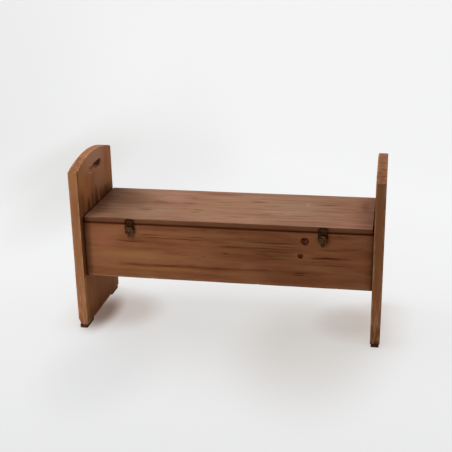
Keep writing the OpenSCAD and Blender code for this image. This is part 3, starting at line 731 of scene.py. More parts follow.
def pine_years(node, plain, bent, pith, lean, ring):
    """Late wood from 0 to 1. years = distance from the pith line / ring, and their fraction is the season.

    plain and bent are the place in the tree without and with the knots' pull. A noise that is slow over
    YEARS_ALIKE years adds up to YEARS_MOVED to their count, which crowds some and widens others, and each
    year is dark by its own chance, from FAINTEST_YEAR to 1."""
    sway = swells(node, plain, SWAY_SIZE, detail=1, give="Color")
    swayed = node("VectorMath", [sway, SWAY, bent], operation="MULTIPLY_ADD")
    beside = node("Mapping", {"Vector": swayed, "Location": (0.0, -pith[0], -pith[1]),
                              "Rotation": (0.0, lean[1], lean[0])})
    across = node("VectorMath", [beside, (0.0, 1.0, 1.0)], operation="MULTIPLY")
    straight = node("VectorMath", [across], give="Value", operation="LENGTH")
    waver = node("Math", [swells(node, plain, WAVER_SIZE, detail=2), WAVER], operation="MULTIPLY")
    distance = node("Math", [straight, waver], operation="ADD")
    slow = node("Math", [distance, 1 / (YEARS_ALIKE * ring)], operation="MULTIPLY")
    crowding = node("TexNoise", {"W": slow, "Scale": 1.0, "Detail": 1.0}, noise_dimensions="1D")
    years = node("Math", [distance, 1 / ring], operation="MULTIPLY")
    years = node("Math", [crowding, YEARS_MOVED, years], operation="MULTIPLY_ADD")
    late = node("ValToRGB", [node("Math", [years], operation="FRACT")], stops=SEASON)
    chance = node("TexWhiteNoise", {"W": node("Math", [years], operation="FLOOR")}, noise_dimensions="1D")
    dark = node("MapRange", [chance, 0.0, 1.0, FAINTEST_YEAR, 1.0], **SMOOTH)
    return node("Math", [late, dark], operation="MULTIPLY")


# %% [markdown]
# ## Stain, and listed marks
# Stain soaks in unevenly: in streaks along the fibres, in clouds a hand wide, and in short flecks where
# resin was. Real fibres are 0.03 mm wide; here they are about 1 mm, so they show. Noise gives a board its
# character, but not the one dark flame by which its owner knows it. So the boards that are seen most also
# have a list of streaks: a dark one adds to the depth of the stain, a pale one takes from it. Where hands
# and sun have turned a place another tone, a patch does the same for the colour. All of them follow a wavy
# place, so that none has a ruled edge.

# %% Pine: stain and marks
# Sizes are in millimetres; a pair such as SOAKED is where a noise starts to show, and where it shows fully
FIBRE_SIZE, CLOUD_SIZE, FLECK_SIZE = (60, 1.1), (300, 45), (45, 1.6)
SOAKED, FLECKED, FLECK_DEPTH = (0.3, 0.7), (0.68, 0.74), 0.4
WAVE_SIZE, WAVE, HALF_WAVE = (110, 40), (30.0, 12.0, 0.0), (15.0, 6.0, 0.0)
GAP_SIZE, GAPS = (150, 2.4), (0.3, 0.55, 0.45)  # gaps weaken a streak to 0.45 of itself, and no further
MARK_FADE = (1.5, 0.2)


def pine_stain(node, grown, late, streak_size, figure):
    """How deep the stain is: flecks, plus late wood, streaks, fibres and clouds, each times its figure.

    Gives the depth, from 0 to about 1, and the fibres."""
    streak, fibre, cloud = (
        node("MapRange", [swells(node, grown, size, detail), *SOAKED], **SMOOTH)
        for size, detail in ((streak_size, 3), (FIBRE_SIZE, 3), (CLOUD_SIZE, 2)))
    fleck = node("MapRange", [swells(node, grown, FLECK_SIZE, detail=1), *FLECKED], **SMOOTH)
    depth = node("Math", [fleck, FLECK_DEPTH], operation="MULTIPLY")
    for layer, strength in zip((late, streak, fibre, cloud), figure):
        depth = node("Math", [layer, strength, depth], operation="MULTIPLY_ADD")
    return depth, fibre


def wavy_place(node, board):
    """The place on the board, moved by up to HALF_WAVE either way."""
    wave = swells(node, board, WAVE_SIZE, detail=2, give="Color")
    waved = node("VectorMath", [wave, WAVE, board], operation="MULTIPLY_ADD")
    return node("VectorMath", [waved, HALF_WAVE], operation="SUBTRACT")


def pine_marks(node, wavy, marks, face):
    """Turns the shape of each mark, (along, across, half length, half width, and more), into a soft spot.

    face is how far through the board the spots lie, and how deep they reach. Gives (spot, and more)."""
    depth, reach = face
    return [(soft_spot(node, wavy, (along, across, depth), (length, width, reach), MARK_FADE), *more)
            for along, across, length, width, *more in marks]


# %% [markdown]
# ## What use leaves on the wood, and painted shade
# Wax wears off where hands and shoes rub, and the bare wood turns pale. The wear that was worked out with the
# surfaces says more: above 0 rubbed, below 0 painted shade at joints, recesses and the slot, and a darker
# strip on each end panel. Ambient occlusion adds more painted shade: a dark tone in the last millimetres of
# every corner, and a glaze on wood that a neighbour stands close to.

# %% Pine: use, and painted shade
# For each: its tone, the size of its noise in millimetres, where that starts and ends, and a strength
# The dark tone below is painted shade, laid where the wear attribute is below 0 and in corners
SHADE_TONE, SHADE_HIDES = "#4e1f09", 0.9
RUBBED_TONE, RUBBED_SIZE, RUBBED, LEAST_RUBBED = "#bd8a66", (50, 9), (0.4, 0.65), 0.05
SCRATCH_TONE, SCRATCH_SIZE, SCRATCHES, SCRATCHED = "#b9855c", (120, 1.3), (0.71, 0.78), 0.3
# Painted shade from ambient occlusion: a dark tone in the last millimetres of each corner, and a glaze where
# a neighbour stands close
CORNER_SHADE_REACH, CORNER_SHADE, SHADE_GLAZE_TONE = 16 * MM, 1.2, "#957a5e"
AO_SAMPLES = 8


def pine_use(node, board, colour, rub, shade_by_neighbour):
    """Rubbed and scratched wood, with painted shade: dark where the wear attribute is below 0 and in corners,
    and then a glaze where a neighbour stands close.

    The corner shade is 1 - CORNER_SHADE * openness, and the glaze is strength * (1 - openness), with
    shade_by_neighbour being (reach, strength). Both are less where the wood is rubbed. The shade from the
    wear attribute is the square of a wear below 0."""
    wear_and_shade = node("Attribute", give="Fac", attribute_name="wear_and_shade")
    patches = swells(node, board, RUBBED_SIZE, detail=3)
    patchy = node("MapRange", [patches, *RUBBED, LEAST_RUBBED, rub], **SMOOTH)
    rubbed = node("Math", [wear_and_shade, patchy], operation="MULTIPLY", use_clamp=True)
    below = node("Math", [wear_and_shade, -1.0], operation="MULTIPLY", use_clamp=True)
    shade_and_darkening = node("Math", [below, below], operation="MULTIPLY")
    scratch = node("MapRange", [swells(node, board, SCRATCH_SIZE, detail=1), *SCRATCHES], **SMOOTH)
    reach, strength = shade_by_neighbour
    closed = []
    for distance, factor, rest in ((CORNER_SHADE_REACH, CORNER_SHADE, 1.0), (reach * MM, strength, strength)):
        openness = node("AmbientOcclusion", {"Distance": distance}, give="AO", samples=AO_SAMPLES)
        share = node("Math", [openness, -factor, rest], operation="MULTIPLY_ADD")
        closed.append(node("Math", [share, rubbed], operation="SUBTRACT", use_clamp=True))
    shade_in_corners, shade_glaze = closed
    colour = cover(node, colour, [(rubbed, 1.0, RUBBED_TONE), (shade_and_darkening, SHADE_HIDES, SHADE_TONE),
                                  (scratch, SCRATCHED, SCRATCH_TONE), (shade_in_corners, 1.0, SHADE_TONE)])
    return cover(node, colour, [(shade_glaze, 1.0, SHADE_GLAZE_TONE)], how="MULTIPLY")


# %% [markdown]
# ## The whole of a pine board
# Now the layers go on, each over the one before: the stain, redder and yellower streaks, patches, the long
# edges, the knots, the end grain, which drinks more stain, what use has left, and painted shade. The wood is
# measured only once, so every layer agrees with the next. Wax fills the pores, so the roughness starts from
# 0.46, and is higher where hardly any wax is left. Soft early wood wears hollow between the hard late wood,
# and the fibres stand up a little: both go into the bump.

# %% Pine: a whole board
STAIN_AT = (0.1, 0.5, 1.0)
HUE_SIZE, REDDER, YELLOWER, HUE = (260, 24), (0.48, 0.66), (0.5, 0.34), 0.45
FACING = (0.35, 0.9)  # the share of a normal along an axis at which a face starts to count, and counts fully
END_SIZE, END_DARK, END_HIDES = (14, 14), (0.42, 0.6), 0.7
HEART_SIZE, HEART_BROWN, HEART_HIDES = (5, 5), (0.47, 0.62), 0.92
HALO_TONE, HALO_HIDES, RIM_TONE, RIM_HIDES = "#9a5c3c", 0.45, "#341203", 0.8
DARK_HEART, BROWN_HEART = "#280c02", "#7d3d1a"
GLOSS_DEPTHS, GLOSS_SWING = (0.1, 0.9), 0.06
# Heights next to late wood, which is 1; a knot's bark has shrunk, so it lies low
FIBRE_HEIGHT, RIM_HEIGHT, RELIEF, RELIEF_STRENGTH = 0.35, -1.5, 0.3 * MM, 0.35


def pine(name, order, tones, pith, lean, ring, seed, joints=(), knots=(), streaks=(), patches=(),
         figure=(0.26, 0.32, 0.12, 0.26), streak_size=(260, 6), face=(0.0, 1000.0), blush="#8a5340",
         gilt="#8f6a45", edge=(0.0, "#2e170b"), ends=("#9c5f40", "#5f381f"), rub=0.45, shade_by_neighbour=(120, 2.0),
         wax=(0.3, 0.46)):
    """Stained and waxed pine, with every length in millimetres.

    order names the axes along the grain, across the face and through the board, and tones are the stain's
    from thin to deep. pith is where the pith lies across and through, lean is its slope, and ring is the
    usual width of a year. joints are the places across the face where two planks are glued, and knots are
    (along, across, radius). streaks are (along, across, half length, half width, depth of stain), and on the
    lid two wide dark ones are painted shadow; patches are the same with a share and a tone, and face is where
    through the board both lie, and how deep they reach. figure is how strongly years, streaks, fibres and
    clouds show, streak_size how long and wide a streak is. blush and gilt are the redder and the yellower
    tone, edge is how much of which tone the long edges take, and ends are the two tones of end grain. rub is
    how far worn edges go pale, shade_by_neighbour how far a neighbour's painted shade reaches and how
    strongly it shows, and wax how glossy and how rough it is."""
    material, shader, node = new_material(name)
    board, grown = place_in_tree(node, order, joints, seed)
    bent, halo, heart, rim = pine_knots(node, board, grown, knots)
    late = pine_years(node, grown, bent, pith, lean, ring)
    depth, fibre = pine_stain(node, grown, late, streak_size, figure)
    gaps = node("MapRange", [swells(node, grown, GAP_SIZE, detail=2), *GAPS], **SMOOTH)
    wavy = wavy_place(node, board)
    for near, strength in pine_marks(node, wavy, streaks, face):
        broken = node("Math", [near, gaps], operation="MULTIPLY")
        depth = node("Math", [broken, strength, depth], operation="MULTIPLY_ADD")
    colour = node("ValToRGB", [depth], stops=list(zip(STAIN_AT, tones)))

    hue = swells(node, grown, HUE_SIZE, detail=2)
    redder, yellower = (node("MapRange", [hue, *reach], **SMOOTH) for reach in (REDDER, YELLOWER))
    facing = node("SeparateXYZ", [node("TexCoord", give="Normal")]).node.outputs
    cut_end, long_edge = (
        node("MapRange", [node("Math", [facing[axis]], operation="ABSOLUTE"), *FACING], **SMOOTH)
        for axis in order[:2])
    dark_end = node("MapRange", [swells(node, board, END_SIZE, detail=3), *END_DARK], **SMOOTH)
    brown_heart = node("MapRange", [swells(node, board, HEART_SIZE, detail=2), *HEART_BROWN], **SMOOTH)
    colour = cover(node, colour, [
        (redder, HUE, blush), (yellower, HUE, gilt), *pine_marks(node, wavy, patches, face),
        (long_edge, *edge), (halo, HALO_HIDES, HALO_TONE),
        (heart, HEART_HIDES, cover(node, DARK_HEART, [(brown_heart, 1.0, BROWN_HEART)])),
        (rim, RIM_HIDES, RIM_TONE), (cut_end, END_HIDES, cover(node, ends[0], [(dark_end, 1.0, ends[1])]))])

    relief = node("Math", [fibre, FIBRE_HEIGHT, late], operation="MULTIPLY_ADD")
    relief = node("Math", [rim, RIM_HEIGHT, relief], operation="MULTIPLY_ADD")
    bump = {"Height": relief, "Strength": RELIEF_STRENGTH, "Distance": RELIEF}
    gloss, rough = wax
    matt = [depth, *GLOSS_DEPTHS, rough + GLOSS_SWING, rough - GLOSS_SWING]
    feed(shader, {"Base Color": pine_use(node, board, colour, rub, shade_by_neighbour), "Specular IOR Level": gloss,
                  "Roughness": node("MapRange", matt, **SMOOTH), "Normal": node("Bump", bump, give="Normal")})
    print("pine:", name, "with", len(material.node_tree.nodes), "nodes")
    return material


# %% [markdown]
# ## The boards, each cut from its own place in a tree
# No two boards of the bench match, because no two came from the same place, and stain evens them out only
# a little. The ends have lost most of their wax, the lid has been sat on until it went dull, and the inside
# was never stained. The lid's tones are greyer as a painted sheen of the bright backdrop, and the right
# panel's are darker as painted shade. So each kind of board has its own tones, marks and place in a trunk.

# %% Front and back board
ALONG_X_UPRIGHT, ALONG_X_FLAT, ALONG_Y_FLAT, ALONG_Z = (0, 2, 1), (0, 1, 2), (1, 0, 2), (2, 1, 0)
PINE_TONES = ("#9b6442", "#6e3d20", "#4f220b")
DULL_WAX = (0.04, 0.5)
FRONT_STREAKS = [
    (-160, 259, 420, 7, 0.34), (-350, 286, 190, 17, -0.3), (-460, 372, 80, 32, -0.2),
    (-360, 350, 70, 2.6, 0.35), (-280, 378, 45, 2, 0.5), (-255, 367, 45, 2, 0.5), (-150, 367, 70, 2, 0.5),
    (-110, 376, 45, 2, 0.4), (35, 349, 50, 2.6, 0.8), (0, 320, 7, 3, 0.5), (180, 368, 110, 2.2, 0.6),
    (200, 356, 90, 2, 0.5), (170, 346, 90, 2.2, 0.5), (190, 336, 80, 2, 0.4), (190, 322, 70, 2, 0.4),
    (170, 308, 60, 2, 0.3), (200, 350, 130, 40, 0.14), (395, 352, 55, 3, 0.6), (450, 358, 50, 2, 0.5),
    (380, 319, 62, 4.5, 1.0), (345, 306, 40, 2, 0.4), (385, 294, 40, 2, 0.35), (270, 257, 22, 1.8, 0.9),
    (268, 251, 22, 1.6, 0.8), (0, 285, 260, 20, -0.16), (300, 272, 200, 18, -0.1),
    (320, 330, 320, 130, 0.1), (-215, 262, 60, 3, 0.3), (120, 262, 40, 2, 0.3), (20, 368, 130, 36, 0.16),
    (400, 400, 60, 9, 0.3), (-110, 405, 260, 12, 0.2), (490, 312, 50, 26, -0.25), (-400, 256, 60, 14, -0.2),
    (-240, 315, 30, 8, -0.2),
]
FRONT_PATCHES = [
    (470, 325, 70, 55, 0.3, "#9a5634"), (400, 378, 60, 22, 0.3, "#95552f"),
    (-330, 297, 150, 15, 0.45, "#a87c46"), (-250, 246, 170, 9, 0.4, "#a9773f"),
    (-440, 345, 60, 40, 0.3, "#a86a50"), (-470, 262, 60, 12, 0.35, "#a86a55"),
]
front_pine = pine("stained_pine_front", ALONG_X_UPRIGHT, PINE_TONES, pith=(330, -260), lean=(0.012, 0.03),
                  ring=4.2, seed=1.0, knots=[(287, 381, 14), (272, 325, 9)], streaks=FRONT_STREAKS,
                  patches=FRONT_PATCHES, figure=(0.06, 0.07, 0.05, 0.28), blush="#8b5234", gilt="#956a42",
                  shade_by_neighbour=(30, 0.8), wax=DULL_WAX)
back_pine = pine("stained_pine_back", ALONG_X_UPRIGHT, PINE_TONES, pith=(280, 260), lean=(0.01, 0.03),
                 ring=4.5, seed=2.0, knots=[(-180, 300, 11), (350, 350, 8)], figure=(0.18, 0.2, 0.06, 0.26))

# %% Lid
# The lid's tones are greyer and paler than the other boards': a painted sheen of the bright backdrop
LID_TONES_WITH_SHEEN = ("#a27b63", "#815a43", "#482a18")
# The two wide dark streaks at the lid's left end, at -520 along, are painted shadow of the left panel
LID_STREAKS_AND_SHADOWS = [
    (-285, 35, 28, 5, 1.0), (-170, 100, 12, 5, 1.0), (-120, -40, 18, 3.5, 1.4), (-130, -66, 20, 4, 1.0),
    (85, 80, 32, 8, 0.9), (160, 36, 46, 4, 0.8), (350, 75, 44, 6, 0.7), (-170, 35, 28, 5, 0.7),
    (140, -52, 26, 4, 0.8), (-320, -60, 26, 14, 0.7), (185, -45, 22, 4, 0.8), (30, -105, 54, 5, 0.6),
    (-60, 158, 90, 6, 0.5), (350, 5, 60, 8, 0.5), (-240, 85, 60, 40, -0.3), (100, -20, 200, 60, -0.12),
    (-330, -98, 85, 38, -0.4), (-370, -103, 40, 3, -0.9), (-455, -160, 40, 3, -0.9),
    (-330, -149, 45, 3, -0.8), (-300, 92, 40, 3, -0.7), (110, 104, 40, 4, -0.8), (275, 70, 8, 25, -0.5),
    (260, -62, 60, 4, 0.5), (-520, 110, 120, 120, 0.65), (-520, -40, 60, 70, 0.5), (490, 75, 16, 60, 0.3),
    (420, 40, 50, 5, 0.5), (-430, -168, 80, 12, 0.35), (-20, -172, 60, 3, -0.8), (300, -176, 170, 3, -0.9),
    (120, -173, 60, 3, -0.7), (-215, -170, 60, 3, -0.7),
]
LID_PATCHES = [(235, 30, 120, 120, 0.3, "#a38a72"), (-270, -70, 80, 60, 0.3, "#a38a72")]
lid_pine = pine("stained_pine_lid", ALONG_X_FLAT, LID_TONES_WITH_SHEEN, pith=(20, 330), lean=(0.02, 0.03), ring=3.6,
                seed=3.0, joints=(-62, 70), streaks=LID_STREAKS_AND_SHADOWS, patches=LID_PATCHES,
                figure=(0.13, 0.22, 0.1, 0.2), streak_size=(220, 10), blush="#8e5a48", gilt="#9b7656",
                edge=(0.8, "#683a20"), rub=0.2, shade_by_neighbour=(90, 0.9), wax=(0.04, 0.6))

# %% Ends
PANEL_TONES, RIGHT_SHADED_TONES = ("#b6794c", "#8c5832", "#572e12"), ("#9c6640", "#7c4c2c", "#4a2814")
DRY_WAX = (0.03, 0.6)
LEFT_STREAKS = [
    (550, 110, 90, 80, -0.6), (458, -5, 44, 17, 1.5), (466, -52, 36, 7, 1.2), (452, 110, 30, 60, 0.8),
    (452, -95, 30, 16, 0.9), (480, -170, 60, 40, 0.6), (460, 50, 28, 14, 0.8), (560, -10, 60, 40, 0.12),
]
LEFT_PATCHES = [(618, 0, 45, 130, 0.8, "#c29477"), (540, 40, 80, 80, 0.4, "#bf8f74"),
                (565, 130, 60, 24, 0.35, "#a5573c")]
LEFT_INNER_FACE = (LEFT_PANEL[1][0] / MM, 22.0)
left_pine = pine("stained_pine_left_end", ALONG_Z, PANEL_TONES, pith=(-20, -600), lean=(0.01, 0.04), ring=4.0,
                 seed=4.0, joints=(-70, 66), streaks=LEFT_STREAKS, patches=LEFT_PATCHES,
                 figure=(0.08, 0.12, 0.03, 0.2), face=LEFT_INNER_FACE, blush="#a0603f", gilt="#8a6038",
                 edge=(0.4, "#94684a"), ends=("#8b5a40", "#553823"), rub=0.8, shade_by_neighbour=(90, 1.0), wax=DRY_WAX)
# The right panel's darker tones and edge tone are painted shade, where the light falls off towards the right
right_pine = pine("stained_pine_right_end", ALONG_Z, RIGHT_SHADED_TONES, pith=(30, 640), lean=(0.01, -0.03),
                  ring=4.0, seed=5.0, joints=(-60, 72), knots=[(622, -150, 9)],
                  patches=[(130, -200, 110, 60, 0.4, "#a8613c")], figure=(0.10, 0.16, 0.05, 0.2),
                  edge=(0.35, "#8a5638"), ends=("#9d6b50", "#7a5038"), rub=0.75, wax=DRY_WAX)

# %% Inside: planed pine without stain
INNER_TONES = ("#b98a5e", "#a07048", "#77502f")
inner_pine = pine("planed_pine_inside", ALONG_X_FLAT, INNER_TONES, pith=(0, 160), lean=(0.02, 0.03), ring=4.5,
                  seed=6.0, joints=(-50, 60))
batten_pine = pine("planed_pine_batten", ALONG_Y_FLAT, INNER_TONES, pith=(0, 500), lean=(0.0, 0.02), ring=4.0,
                   seed=7.0)

# %% [markdown]
# ## Metal that has aged
# The latches and hinges are sheet brass, blackened in a bath and then handled. New brass would shine yellow
# all over; here a dark film lies on it, thin where fingers and rubbing reach, thick in the corners. The
# film is dull, at a roughness near 0.55, and the bare metal under it is smoother. Ambient occlusion finds
# the corners, noise breaks the film up into blotches of about 2 to 3 mm, and where the Bevel node turns the
# surface away from its own flat face, there is an arris, from which the film is worn off first. The wires
# are steel in the same film, and the screws are plated with zinc, so theirs is a thin grey one. A film of
# oxide is not quite a metal, so Metallic stays a little under 1.

# %% Aged metal
TOUCH_REACH, TOUCH = 6 * MM, 0.35
FILM_ENDS, FILM_FADE = 0.98, 0.18
SPECKLE_FINER, SPECKLE_SHOWS, SPECKLE_LEAST, PIT_STRENGTH = 5, 0.5, 0.55, 0.3
ARRIS, ARRIS_TURN, ARRIS_BARE = 0.5 * MM, (0.98, 0.86), 0.7
EASED, PITTED = 0.25 * MM, 0.05 * MM
METALLIC, METAL_SPECULAR, METAL_SAMPLES = 0.85, 0.15, 4


def aged_metal(name, film, bare, blotch_mm, bare_share, film_rough, bare_rough):
    """Metal of the tone bare under a film of the tone film, each with its own roughness.

    blotch_mm is the size of the blotches, and bare_share is how much metal shows."""
    material, shader, node = new_material(name)
    metres = node("TexCoord", give="Object")
    scale = MM_PER_METRE / blotch_mm
    blotches = node("TexNoise", {"Vector": metres, "Scale": scale, "Detail": 4.0, "Roughness": 0.62})
    speckle = node("TexNoise", {"Vector": metres, "Scale": SPECKLE_FINER * scale, "Detail": 2.0})
    openness = node("AmbientOcclusion", {"Distance": TOUCH_REACH}, give="AO", samples=6)
    touched = node("Math", [openness, TOUCH, blotches], operation="MULTIPLY_ADD")
    low = FILM_ENDS - bare_share
    thin = node("MapRange", [touched, low, low + FILM_FADE], **SMOOTH)
    spots = node("Math", [speckle, SPECKLE_SHOWS, SPECKLE_LEAST], operation="MULTIPLY_ADD")
    worn = node("Math", [thin, spots], operation="MULTIPLY")
    rounded = node("Bevel", {"Radius": ARRIS}, samples=METAL_SAMPLES)
    flat = node("NewGeometry", give="True Normal")
    turned = node("VectorMath", [rounded, flat], give="Value", operation="DOT_PRODUCT")
    arris = node("MapRange", [turned, *ARRIS_TURN, 0.0, ARRIS_BARE])
    shows = node("Math", [worn, arris], operation="MAXIMUM")
    eased = node("Bevel", {"Radius": EASED}, samples=METAL_SAMPLES)
    pits = {"Height": speckle, "Strength": PIT_STRENGTH, "Distance": PITTED, "Normal": eased}
    feed(shader, {"Base Color": cover(node, film, [(shows, 1.0, bare)]), "Metallic": METALLIC,
                  "Roughness": node("Mix", {"Factor": shows, 2: film_rough, 3: bare_rough}),
                  "Specular IOR Level": METAL_SPECULAR, "Normal": node("Bump", pits, give="Normal")})
    print("metal:", name, "with blotches of", blotch_mm, "mm")
    return material


latch_bronze = aged_metal("antiqued_brass_latch", film="#2c1808", bare="#85603d", blotch_mm=2.6,
                          bare_share=0.19, film_rough=0.55, bare_rough=0.38)
latch_wire = aged_metal("blackened_steel_wire", film="#220f06", bare="#6b4c30", blotch_mm=2.0,
                        bare_share=0.12, film_rough=0.52, bare_rough=0.36)
hinge_brass = aged_metal("antiqued_brass_hinge", film="#3a2e1b", bare="#b08d54", blotch_mm=3.2,
                         bare_share=0.34, film_rough=0.5, bare_rough=0.34)
screw_steel = aged_metal("zinc_plated_screws", film="#5c5a55", bare="#a9a8a2", blotch_mm=1.6,
                         bare_share=0.5, film_rough=0.45, bare_rough=0.3)

# %% [markdown]
# ## Rubber and beech
# Each foot is a moulded rubber pad, matt at a roughness near 0.8, dusty low down where it meets the floor.
# The dowels are turned beech, paler and closer than pine, with flecks about 2 mm long. They are hidden in
# the joints, but a part taken apart should show the right wood.

# %% Rubber pads and beech dowels
DUST_HEIGHT, DUST_ABOVE, GRIT_MM, GRIT_DEPTH = 6 * MM, 0.15, 3, 0.2 * MM
FLECK_LENGTH_MM, FLECK_WIDTH_MM, BEECH_FLECKED = 2, 0.3, (0.5, 0.7)


def moulded_rubber(name):
    """Dark rubber with floor dust that thins out from the floor up to DUST_HEIGHT."""
    material, shader, node = new_material(name)
    metres = node("TexCoord", give="Object")
    height = node("SeparateXYZ", [metres]).node.outputs["Z"]
    low = node("MapRange", [height, 0.0, DUST_HEIGHT, 1.0, DUST_ABOVE])
    grit = node("TexNoise", {"Vector": metres, "Scale": MM_PER_METRE / GRIT_MM, "Detail": 4.0})
    dust = node("Math", [low, grit], operation="MULTIPLY")
    bump = node("Bump", {"Height": grit, "Strength": 0.4, "Distance": GRIT_DEPTH}, give="Normal")
    feed(shader, {"Base Color": cover(node, "#3f281a", [(dust, 1.0, "#86654a")]), "Normal": bump,
                  "Roughness": 0.8, "Specular IOR Level": 0.15})
    return material


def turned_beech(name):
    """Pale beech with darker flecks along its grain, which runs along X in every dowel."""
    material, shader, node = new_material(name)
    along, across = MM_PER_METRE / FLECK_LENGTH_MM, MM_PER_METRE / FLECK_WIDTH_MM
    metres = node("TexCoord", give="Object")
    flecks = node("VectorMath", [metres, (along, across, across)], operation="MULTIPLY")
    noise = node("TexNoise", {"Vector": flecks, "Scale": 1.0, "Detail": 2.0})
    dark = node("MapRange", [noise, *BEECH_FLECKED])
    feed(shader, {"Base Color": cover(node, "#d2aa7c", [(dark, 1.0, "#9c6f45")]), "Roughness": 0.55})
    return material


pad_rubber = moulded_rubber("moulded_rubber_pad")
dowel_beech = turned_beech("turned_beech_dowel")
print("rubber dust up to", DUST_HEIGHT / MM, "mm, beech flecks of", FLECK_LENGTH_MM, "mm")

# %% [markdown]
# ## Every piece gets its finish
# The new pieces take their material by name. Every other piece is still the construction's own mesh, which
# has a slot for its material, so the finish goes into that slot.

# %% Finishes
PIECE_FINISH = {
    "left_panel": left_pine, "right_panel": right_pine, "front": front_pine, "back": back_pine,
    "lid_top": lid_pine, "cleat_front": inner_pine, "cleat_back": inner_pine, "bottom": inner_pine,
    "batten_left": batten_pine, "batten_right": batten_pine,
}
SLOT_FINISH = {
    "dowel_beech": dowel_beech, "pad_rubber": pad_rubber, "latch_bronze": latch_bronze,
    "latch_wire": latch_wire, "hinge_brass": hinge_brass, "screw_steel": screw_steel,
}
for piece_name, finish in PIECE_FINISH.items():
    bpy.data.objects[piece_name].data.materials.append(finish)
for pad in pads:
    pad.data.materials.append(pad_rubber)
for subpart in frame["record"]["subparts"]:
    if subpart["material_slot"] in SLOT_FINISH:
        for material_slot in frame["nodes"][subpart["node"]].material_slots:
            material_slot.material = SLOT_FINISH[subpart["material_slot"]]
print("pieces with their own finish:", len(PIECE_FINISH) + len(pads))

# %% [markdown]
# ## The studio: paper
# A sheet of pale paper runs over the floor and curves up behind, so that there is no horizon. In a shop's
# studio the sheet is lit by lamps of its own until it is almost white. Lamps that strong would spill on the
# bench, so the camera sees most of the paper as if it glowed, while every other ray finds plain paper. The
# glow is a little weaker on the left and in front. It is painted darker where ambient occlusion says that
# the bench stands close, and a few soft pools of painted shadow tint it, warmed as if by light from the wood.

# %% Paper floor and backdrop
PAPER_HALF_WIDTH, PAPER_FRONT, PAPER_BACK, PAPER_CURVE, PAPER_TOP = 6.0, -5.0, 2.6, 1.2, 5.0
bend = np.linspace(0, np.pi / 2, 24)
curve_y, curve_z = PAPER_BACK + PAPER_CURVE * np.sin(bend[1:]), PAPER_CURVE * (1 - np.cos(bend[1:]))
paper_y = [PAPER_FRONT, 0.0, PAPER_BACK, *curve_y, PAPER_BACK + PAPER_CURVE]
paper_z = [0.0, 0.0, 0.0, *curve_z, PAPER_TOP]
paper_points = [(side * PAPER_HALF_WIDTH, y, z) for side in (-1, 1) for y, z in zip(paper_y, paper_z)]
count = len(paper_y)
row = np.arange(count - 1)
paper_mesh = bpy.data.meshes.new("paper")
paper_mesh.from_pydata(paper_points, [], np.stack([row, count + row, count + row + 1, row + 1], -1).tolist())
paper_mesh.shade_smooth()
paper = bpy.data.objects.new("paper", paper_mesh)
bpy.context.scene.collection.objects.link(paper)
print("paper with", len(row), "strips")

# %% The paper's finish: pools of painted shadow are ((x, y), half sizes, tone), in metres on the floor
GLOW, GLOW_SLOPE, GLOW_SHARE = 0.89, (0.047, 0.05, 0.0), 0.85
PAPER_TONE, SHADED_PAPER, LIT_PAPER, SHADE_REACH = "#e3e5e8", "#e0d2c8", "#fefefe", 0.14
POOL_FADE = (1.4, 0.3)
SHADOW_POOLS = [
    ((0.0, -0.1), (0.55, 0.5), "#f5f3f1"), ((0.32, -0.25), (0.26, 0.45), "#eeebe8"),
    ((-0.38, -0.5), (0.2, 0.3), "#f4f4f4"), ((-0.42, -0.02), (0.13, 0.16), "#e2d7d2"),
    ((-0.515, -0.05), (0.06, 0.16), "#a19087"), ((0.44, 0.0), (0.12, 0.15), "#ece5e1"),
    ((-0.95, 2.1), (0.6, 1.2), "#f6f6f5"), ((-1.4, 2.0), (0.3, 0.9), "#f6f6f4"),
    ((-1.15, 1.15), (0.22, 0.6), "#f6f6f4"),
]
paper_material, shader, node = new_material("matt_white_paper")
feed(shader, {"Base Color": PAPER_TONE, "Roughness": 0.9})
rays = node("LightPath", give="Is Camera Ray").node.outputs
seen = rays["Is Camera Ray"]
for ray in ("Is Glossy Ray", "Is Transmission Ray"):
    seen = node("Math", [seen, rays[ray]], operation="MAXIMUM")
place = node("TexCoord", give="Object")
evening = node("VectorMath", [place, GLOW_SLOPE], give="Value", operation="DOT_PRODUCT")
glow = node("Math", [node("Math", [evening, GLOW], operation="ADD"), 1.0], operation="MINIMUM")
openness = node("AmbientOcclusion", {"Distance": SHADE_REACH}, give="AO", samples=AO_SAMPLES)
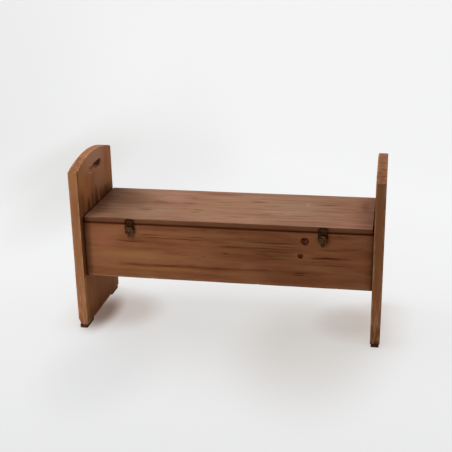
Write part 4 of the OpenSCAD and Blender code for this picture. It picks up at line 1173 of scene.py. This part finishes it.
pools = [(soft_spot(node, place, (*middle, 0.0), (*half_sizes, np.inf), POOL_FADE), 1.0, tone)
         for middle, half_sizes, tone in SHADOW_POOLS]
tint = cover(node, cover(node, SHADED_PAPER, [(openness, 1.0, LIT_PAPER)]), pools, how="MULTIPLY")
own_light = node("Emission", {"Color": tint, "Strength": glow})
share = node("Math", [seen, GLOW_SHARE], operation="MULTIPLY")
surface = node("MixShader", [share, shader.outputs[0], own_light])
feed(paper_material.node_tree.nodes["Material Output"], {"Surface": surface})
paper_mesh.materials.append(paper_material)
print("pools on the paper:", len(SHADOW_POOLS))

# %% [markdown]
# ## The studio: light
# The light is soft: a wide box overhead, a little behind the bench, one high on the left, and a small one
# near the left front that lifts the end beside it. Bare bulbs would draw hard shadows that the real room
# doesn't have. Its white walls are the world's own light, even from all sides.

# %% Lamps and the room's own light
ROOM_LIGHT = 0.29
# Each box: its name, where it hangs, what it faces, its width and height in metres, and its power in watts
SOFT_BOXES = [
    ("overhead_box", (0.1, 0.35, 2.6), (0.1, 0.1, 0.4), 2.6, 1.8, 23.0),
    ("left_box", (-2.1, 0.5, 1.7), (0.0, 0.0, 0.4), 1.4, 1.2, 49.0),
    ("near_left_box", (-1.35, -1.25, 1.15), (-0.35, -0.1, 0.3), 0.4, 0.4, 9.0),
]


def soft_box(name, place, aim, width, height, power):
    """A rectangular lamp at place that faces aim; a lamp shines along its own -Z."""
    lamp = bpy.data.objects.new(name, bpy.data.lights.new(name, "AREA"))
    lamp.data.shape, lamp.data.size, lamp.data.size_y, lamp.data.energy = "RECTANGLE", width, height, power
    way = Vector(aim) - Vector(place)
    lamp.matrix_world = Matrix.Translation(place) @ way.to_track_quat("-Z", "Y").to_matrix().to_4x4()
    bpy.context.scene.collection.objects.link(lamp)
    print(name, "shines with", power, "W")


for box in SOFT_BOXES:
    soft_box(*box)
room = bpy.data.worlds.new("room")
room.use_nodes = True
feed(room.node_tree.nodes["Background"], {"Color": "#ffffff", "Strength": ROOM_LIGHT})
bpy.context.scene.world = room
